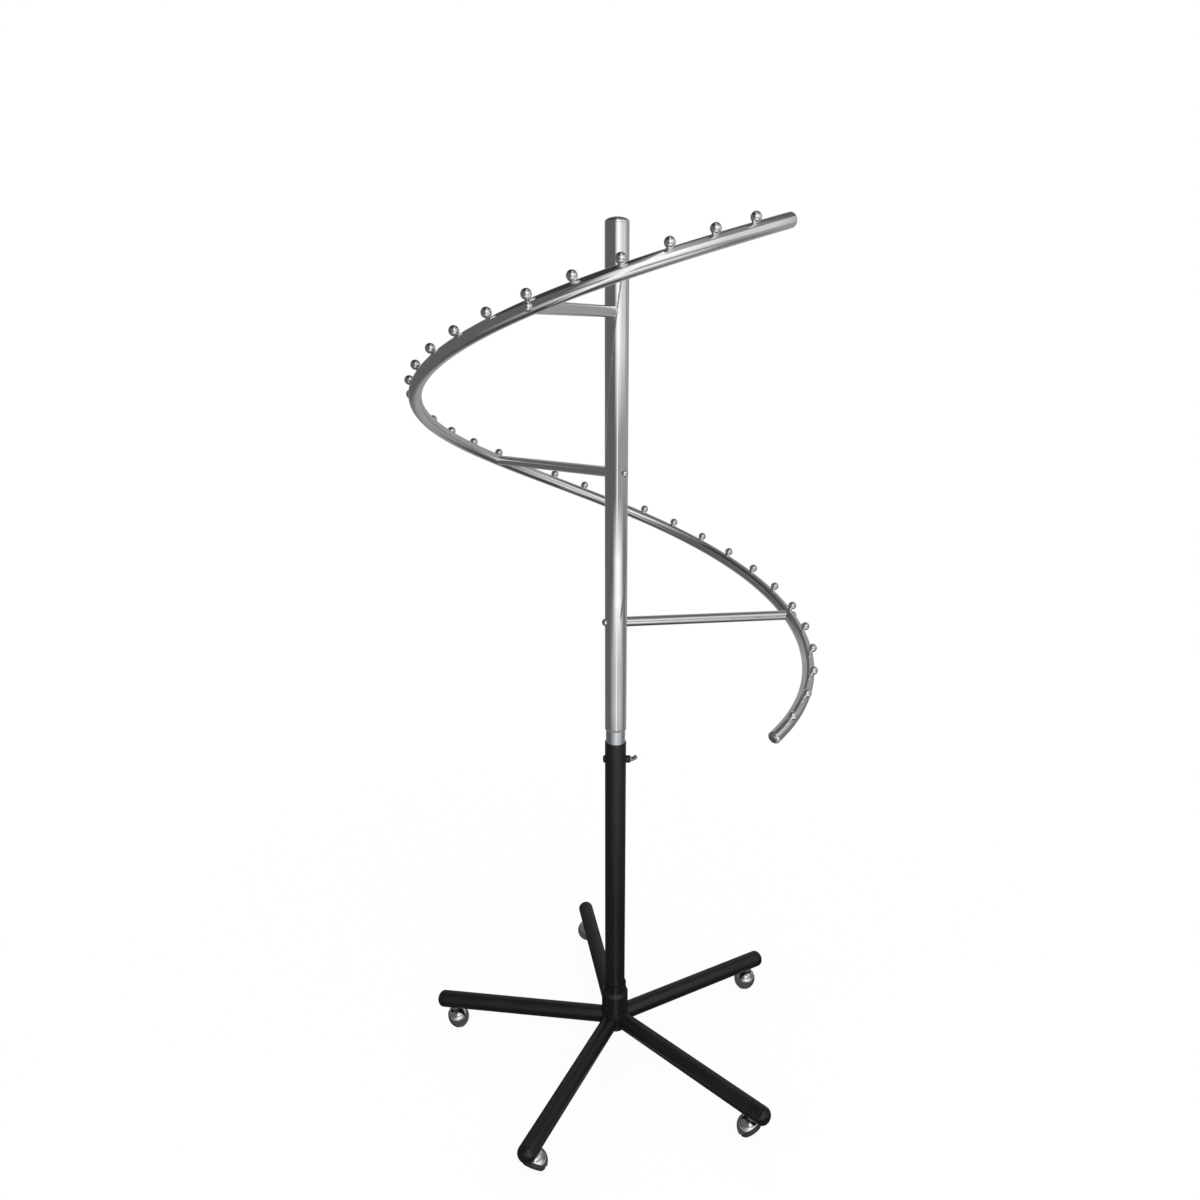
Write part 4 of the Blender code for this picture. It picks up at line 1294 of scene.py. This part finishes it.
@dataclass
class RailArms:
    """Three tubes from the mast to the rail, and the dome-head bolts that hold them at both ends."""

    rule: SpiralRule
    mast_radius: float = 21.0 * MM
    rail_radius: float = 11.1 * MM
    radius: float = 9.5 * MM
    head_radius: float = 7.0 * MM
    head_dome: float = 6.0 * MM
    head_skirt: float = 1.6 * MM
    sides: int = 72

    def build(self, shop: Workshop) -> None:
        """Make and dress the arms and all their bolts."""
        spots: list[Vector] = []
        aims: list[Vector] = []
        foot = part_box("mast_tube")[0].z
        for name, angle, height in (
            ("upper", 66.0 * DEG, 776.0 * MM),
            ("middle", 181.5 * DEG, 499.5 * MM),
            ("lower", 300.0 * DEG, 216.5 * MM),
        ):
            start = Vector((0.0, 0.0, foot + height))
            centre = self.rule.point(angle)
            place = facing(centre - start, start)
            length = (centre - start).length
            lie = place.to_3x3().transposed() @ self.rule.tangent(angle)
            profile = [(0.0, self.at_mast(place)), (self.radius, self.at_mast(place))]
            profile += [(self.radius, length * share) for share in (0.2, 0.4, 0.6, 0.8)]
            profile += [(self.radius, self.at_rail(lie, length)), (0.0, self.at_rail(lie, length))]
            shape = Shape().turn(profile, self.sides, place)
            shop.piece(f"{name}_arm", shape, CHROME, Body.CAROUSEL, [f"arm_{name}"])
            outward = (centre - start).normalized()
            slope = abs(outward.z) / math.sqrt(1.0 - outward.z**2)
            seat = self.mast_radius / math.sqrt(1.0 - outward.z**2) + self.head_radius * slope
            spots += [start - outward * seat, centre + outward * self.rail_radius]
            aims += [-outward, outward]
        names = [f"{end}_bolt_{name}" for name in ("upper", "middle", "lower") for end in ("mast", "rail")]
        shop.dress("arm_dome_bolts", self.bolts(spots, aims), Body.CAROUSEL, names)

    def at_mast(self, place: Matrix) -> Callable[[float, float], float]:
        """Return the end of an arm that meets the mast on a sloping axis."""
        fall = place.col[2].z
        flat = math.sqrt(1.0 - fall**2)
        return lambda x, y: (math.sqrt(self.mast_radius**2 - x * x) + y * fall) / flat

    def at_rail(self, lie: Vector, length: float) -> Callable[[float, float], float]:
        """Return the end of an arm that is coped to the rail.

        Args:
            lie: The rail's direction, in the arm's own axes.
            length: The distance from the mast's axis to the rail's centre.

        Returns:
            The height of the end at local x and y.
        """

        def end(x: float, y: float) -> float:
            """Return where a line along the arm meets the rail."""
            along = x * lie.x + y * lie.y
            spread = 1.0 - lie.z**2
            skew = lie.z * along
            room = x * x + y * y - along**2 - self.rail_radius**2
            surface = (skew - math.sqrt(max(skew**2 - spread * room, 0.0))) / spread
            return length + surface - x * x / (2.0 * length)

        return end

    def bolts(self, spots: Sequence[Vector], aims: Sequence[Vector]) -> bpy.types.Mesh:
        """Set a dome head at every bolt's place.

        Args:
            spots: Where each head sits.
            aims: Where each head looks.

        Returns:
            The heads as one mesh.
        """
        profile = dome(self.head_radius, 0.0, self.head_dome, 12)
        profile += [(self.head_radius, -self.head_skirt), (0.0, -self.head_skirt)]
        head = bpy.data.objects.new("bolt_head", Shape().turn(profile, 40).finish("bolt_head"))
        bpy.context.scene.collection.objects.link(head)
        seed = bpy.data.meshes.new("bolt_places")
        seed.from_pydata(spots, [], [])
        aim = seed.attributes.new(AimedRecipe.AIM, "FLOAT_VECTOR", "POINT")
        aim.data.foreach_set("vector", [part for vector in aims for part in vector])
        mesh = AimedRecipe().run(seed, CHROME, {"Template": head})
        bpy.data.objects.remove(head)
        return mesh


@dataclass(frozen=True)
class PhotoCamera:
    """The camera, at the photograph's place and angle."""

    distance: float = 1.60507
    height: float = 1.483557
    pitch: float = 16.466 * DEG
    yaw: float = -1.074 * DEG
    roll: float = -0.131 * DEG
    lens: float = 26.677
    sensor: float = 36.0

    def build(self) -> None:
        """Make the camera and give it to the scene."""
        right = Vector((math.cos(self.yaw), -math.sin(self.yaw), 0.0))
        flat = Vector((math.sin(self.yaw), math.cos(self.yaw), 0.0))
        ahead = flat * math.cos(self.pitch) - UP * math.sin(self.pitch)
        above = flat * math.sin(self.pitch) + UP * math.cos(self.pitch)
        rolled_right = right * math.cos(self.roll) + above * math.sin(self.roll)
        rolled_above = above * math.cos(self.roll) - right * math.sin(self.roll)
        turn = Matrix((rolled_right, rolled_above, -ahead)).transposed().to_4x4()
        data = bpy.data.cameras.new("photo_camera")
        data.sensor_fit = "HORIZONTAL"
        data.sensor_width = self.sensor
        data.lens = self.lens
        camera = bpy.data.objects.new("photo_camera", data)
        camera.matrix_world = Matrix.Translation((0.0, -self.distance, self.height)) @ turn
        bpy.context.scene.collection.objects.link(camera)
        bpy.context.scene.camera = camera


@dataclass(frozen=True)
class SoftLamp:
    """A square lamp: its place, its side, its power in watts and whether coats show its highlight."""

    name: str
    at: tuple[float, float, float]
    size: float
    power: float
    shines: bool = False

    def hang(self, target: tuple[float, float, float]) -> None:
        """Hang the lamp so that it looks at a target."""
        data = bpy.data.lights.new(self.name, "AREA")
        data.size = self.size
        data.energy = self.power
        lamp = bpy.data.objects.new(self.name, data)
        at = Vector(self.at)
        lamp.matrix_world = facing(at - Vector(target), at)
        lamp.visible_glossy = self.shines
        bpy.context.scene.collection.objects.link(lamp)


LAMPS = (
    SoftLamp("key_lamp", (1.5, -2.4, 3.0), 2.6, 55.0, shines=True),
    SoftLamp("fill_lamp", (-2.4, -1.6, 2.6), 2.0, 25.0),
    SoftLamp("back_lamp", (0.6, 2.6, 3.0), 2.0, 25.0),
    SoftLamp("low_lamp", (0.1, -2.6, 0.5), 0.25, 0.8, shines=True),
)


@dataclass(frozen=True)
class Panel:
    """A soft-edged panel of the tent, placed in degrees to the right of the front and in metres up.

    A foot or a top that isn't given lies beyond the tent.
    """

    middle: float
    half_width: float
    level: float
    side_softness: float
    end_softness: float
    foot: float = -1.0
    top: float = 4.0

    def cover(self, sheet: NodeSheet, turn: Wire, height: Wire) -> Wire:
        """Return how much of each place of the tent the panel covers."""
        across = self.half_width - sheet.maths("ABSOLUTE", turn - self.middle)
        parts = (
            across / self.side_softness,
            (height - self.foot) / self.end_softness,
            (self.top - height) / self.end_softness,
        )
        cover: Wire | float = 1.0
        # The panel's edge is where it covers half
        for part in parts:
            cover = cover * sheet.add("ShaderNodeClamp", inputs={"Value": part + 0.5})
        return cover


# Each panel hangs in front of those before it
DARK_CLOTH = Panel(middle=-75.0, half_width=70.0, level=0.12, side_softness=30.0, end_softness=0.2)
RIGHT_CLOTH = Panel(
    middle=95.0, half_width=25.0, level=0.18, side_softness=20.0, end_softness=0.3, top=0.9
)
FLOOR_SWEEP = Panel(
    middle=15.0, half_width=50.0, level=0.6, side_softness=60.0, end_softness=0.4, top=0.4
)
LOW_WINDOW = Panel(
    middle=20.0, half_width=35.0, level=1.1, side_softness=40.0, end_softness=0.3, foot=0.3, top=0.8
)
SIDE_WALL = Panel(
    middle=60.0, half_width=30.0, level=0.7, side_softness=25.0, end_softness=0.3, foot=1.4
)
HIGH_WINDOW = Panel(
    middle=15.0, half_width=22.0, level=1.1, side_softness=25.0, end_softness=0.4, foot=1.4
)
PANELS = (DARK_CLOTH, RIGHT_CLOTH, FLOOR_SWEEP, LOW_WINDOW, SIDE_WALL, HIGH_WINDOW)


@dataclass
class Studio:
    """The white studio: floor, world, soft lamps, and the panels that only reflections see."""

    floor_radius: float = 6.0
    floor_shadow: float = 0.07
    shadow_radius: float = 1.6
    floor_grey: float = 0.9
    world_level: float = 0.7
    lamp_target: tuple[float, float, float] = (0.0, 0.0, 0.8)
    tent_radius: float = 1.5
    tent_foot: float = 0.002
    tent_height: float = 2.6
    tent_grey: float = 0.33
    roof_share: float = 0.35
    # Grey of the painted shadow on the tent's ground near the rack
    dark_ground: float = 0.07
    strip: Panel = Panel(middle=8.5, half_width=5.5, level=1.0, side_softness=3.0, end_softness=0.2)

    def build(self) -> None:
        """Set up everything round the rack."""
        scene = bpy.context.scene
        scene.view_settings.view_transform = "Standard"
        self.world(scene)
        self.floor()
        for lamp in LAMPS:
            lamp.hang(self.lamp_target)
        self.tent()
        PhotoCamera().build()

    @staticmethod
    def seen(sheet: NodeSheet) -> Wire:
        """Return 1 for rays that show the background itself or its image in metal or glass."""
        camera = sheet.add("ShaderNodeLightPath", output="Is Camera Ray")
        seen = camera + camera.sibling("Is Glossy Ray") + camera.sibling("Is Transmission Ray")
        return sheet.maths("MINIMUM", seen, 1.0)

    def world(self, scene: bpy.types.Scene) -> None:
        """Make a world that looks white and lights the rack at a plain level."""
        world = bpy.data.worlds.new("studio_world")
        world.use_nodes = True
        scene.world = world
        sheet = NodeSheet(world.node_tree)
        level = self.world_level
        colour = sheet.mix(self.seen(sheet), (level, level, level, 1.0), (1.0, 1.0, 1.0, 1.0))
        light = sheet.add("ShaderNodeBackground", inputs={"Color": colour})
        sheet.add("ShaderNodeOutputWorld", inputs={"Surface": light}, output=None)

    def floor_material(self) -> bpy.types.Material:
        """Return a floor that looks white but keeps a faint shadow under the rack."""
        material = bpy.data.materials.new("studio_floor")
        material.use_nodes = True
        sheet = NodeSheet(material.node_tree)
        where = sheet.add("ShaderNodeTexCoord", output="Object")
        away = sheet.add("ShaderNodeVectorMath", {"operation": "LENGTH"}, {0: where}, "Value")
        shadow = sheet.ramp(away / self.shadow_radius, ((0.3, self.floor_shadow), (1.0, 0.0)))
        grey = self.floor_grey
        paint = sheet.add("ShaderNodeBsdfDiffuse", inputs={"Color": (grey, grey, grey, 1.0)})
        white = sheet.add("ShaderNodeEmission", inputs={"Strength": 1.0})
        share = self.seen(sheet) * (1.0 - shadow)
        both = sheet.add("ShaderNodeMixShader", inputs={0: share, 1: paint, 2: white})
        sheet.add("ShaderNodeOutputMaterial", inputs={"Surface": both}, output=None)
        return material

    def floor(self) -> None:
        """Lay the floor's disc."""
        shape = bmesh.new()
        bmesh.ops.create_circle(shape, cap_ends=True, segments=96, radius=self.floor_radius)
        mesh = bpy.data.meshes.new("studio_floor")
        shape.to_mesh(mesh)
        shape.free()
        mesh.materials.append(self.floor_material())
        disc = bpy.data.objects.new("studio_floor", mesh)
        bpy.context.scene.collection.objects.link(disc)

    def tent(self) -> None:
        """Stand a tent of light and dark panels round the rack for its chrome to reflect."""
        radius = self.tent_radius
        low = self.tent_foot
        profile = [(0.0, low), (radius, low), (radius, self.tent_height), (0.0, self.tent_height)]
        mesh = Shape().turn(profile, 96).finish("studio_tent")
        mesh.materials.append(self.tent_material())
        tent = bpy.data.objects.new("studio_tent", mesh)
        bpy.context.scene.collection.objects.link(tent)
        tent.visible_camera = False
        tent.visible_diffuse = False
        tent.visible_transmission = False
        tent.visible_volume_scatter = False
        tent.visible_shadow = False

    def tent_material(self) -> bpy.types.Material:
        """Return the tent: grey cloth, front windows, dark left cloth, a dim roof and a painted shadow on
        its ground near the rack.
        """
        material = bpy.data.materials.new("studio_tent")
        material.use_nodes = True
        sheet = NodeSheet(material.node_tree)
        where = sheet.add("ShaderNodeTexCoord", output="Object")
        x = sheet.add("ShaderNodeSeparateXYZ", inputs={"Vector": where}, output="X")
        height = x.sibling("Z")
        turn = sheet.maths("ARCTAN2", x, 0.0 - x.sibling("Y")) / DEG
        level: Wire | float = self.tent_grey
        for panel in PANELS:
            cover = panel.cover(sheet, turn, height)
            level = cover * panel.level + (1.0 - cover) * level
        # The ground darkens towards the rack: a painted shadow under it, seen only in reflections
        away = sheet.add("ShaderNodeVectorMath", {"operation": "LENGTH"}, {0: where}, "Value")
        spread = sheet.ramp(away / self.tent_radius, ((0.4, 0.0), (0.85, 1.0)))
        normal = sheet.add("ShaderNodeNewGeometry", output="Normal")
        lie = sheet.add("ShaderNodeSeparateXYZ", inputs={"Vector": normal}, output="Z")
        flat = sheet.maths("GREATER_THAN", sheet.maths("ABSOLUTE", lie), 0.5)
        roof = flat * sheet.maths("GREATER_THAN", height, self.tent_height / 2)
        ground = flat - roof
        dim = (1.0 - roof * (1.0 - self.roof_share)) * level
        # On the ground, the tent's grey far out fades to the painted shadow near the rack
        dim = ground * (spread * level + (1.0 - spread) * self.dark_ground) + (1.0 - ground) * dim
        # Level tubes see the strip along their whole length
        bright = self.strip.cover(sheet, turn, height) * self.strip.level
        colour = sheet.maths("MAXIMUM", dim, bright)
        light = sheet.add("ShaderNodeEmission", inputs={"Color": colour})
        sheet.add("ShaderNodeOutputMaterial", inputs={"Surface": light}, output=None)
        return material


def main() -> None:
    """Build the rack's sub-assemblies in order, then the studio round them."""
    logging.basicConfig(level=logging.INFO, format="%(message)s")
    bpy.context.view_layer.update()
    shop = Workshop(logging.getLogger("rack"))
    StarBase().build(shop)
    for number in range(1, StarBase.leg_count + 1):
        Caster(number).build(shop)
    ClampHandle().build(shop)
    SlidingPost().build(shop)
    Mast().build(shop)
    rule = SpiralRule()
    SpiralRail(rule).build(shop)
    RailArms(rule).build(shop)
    Studio().build()


if __name__ == "__main__":
    main()
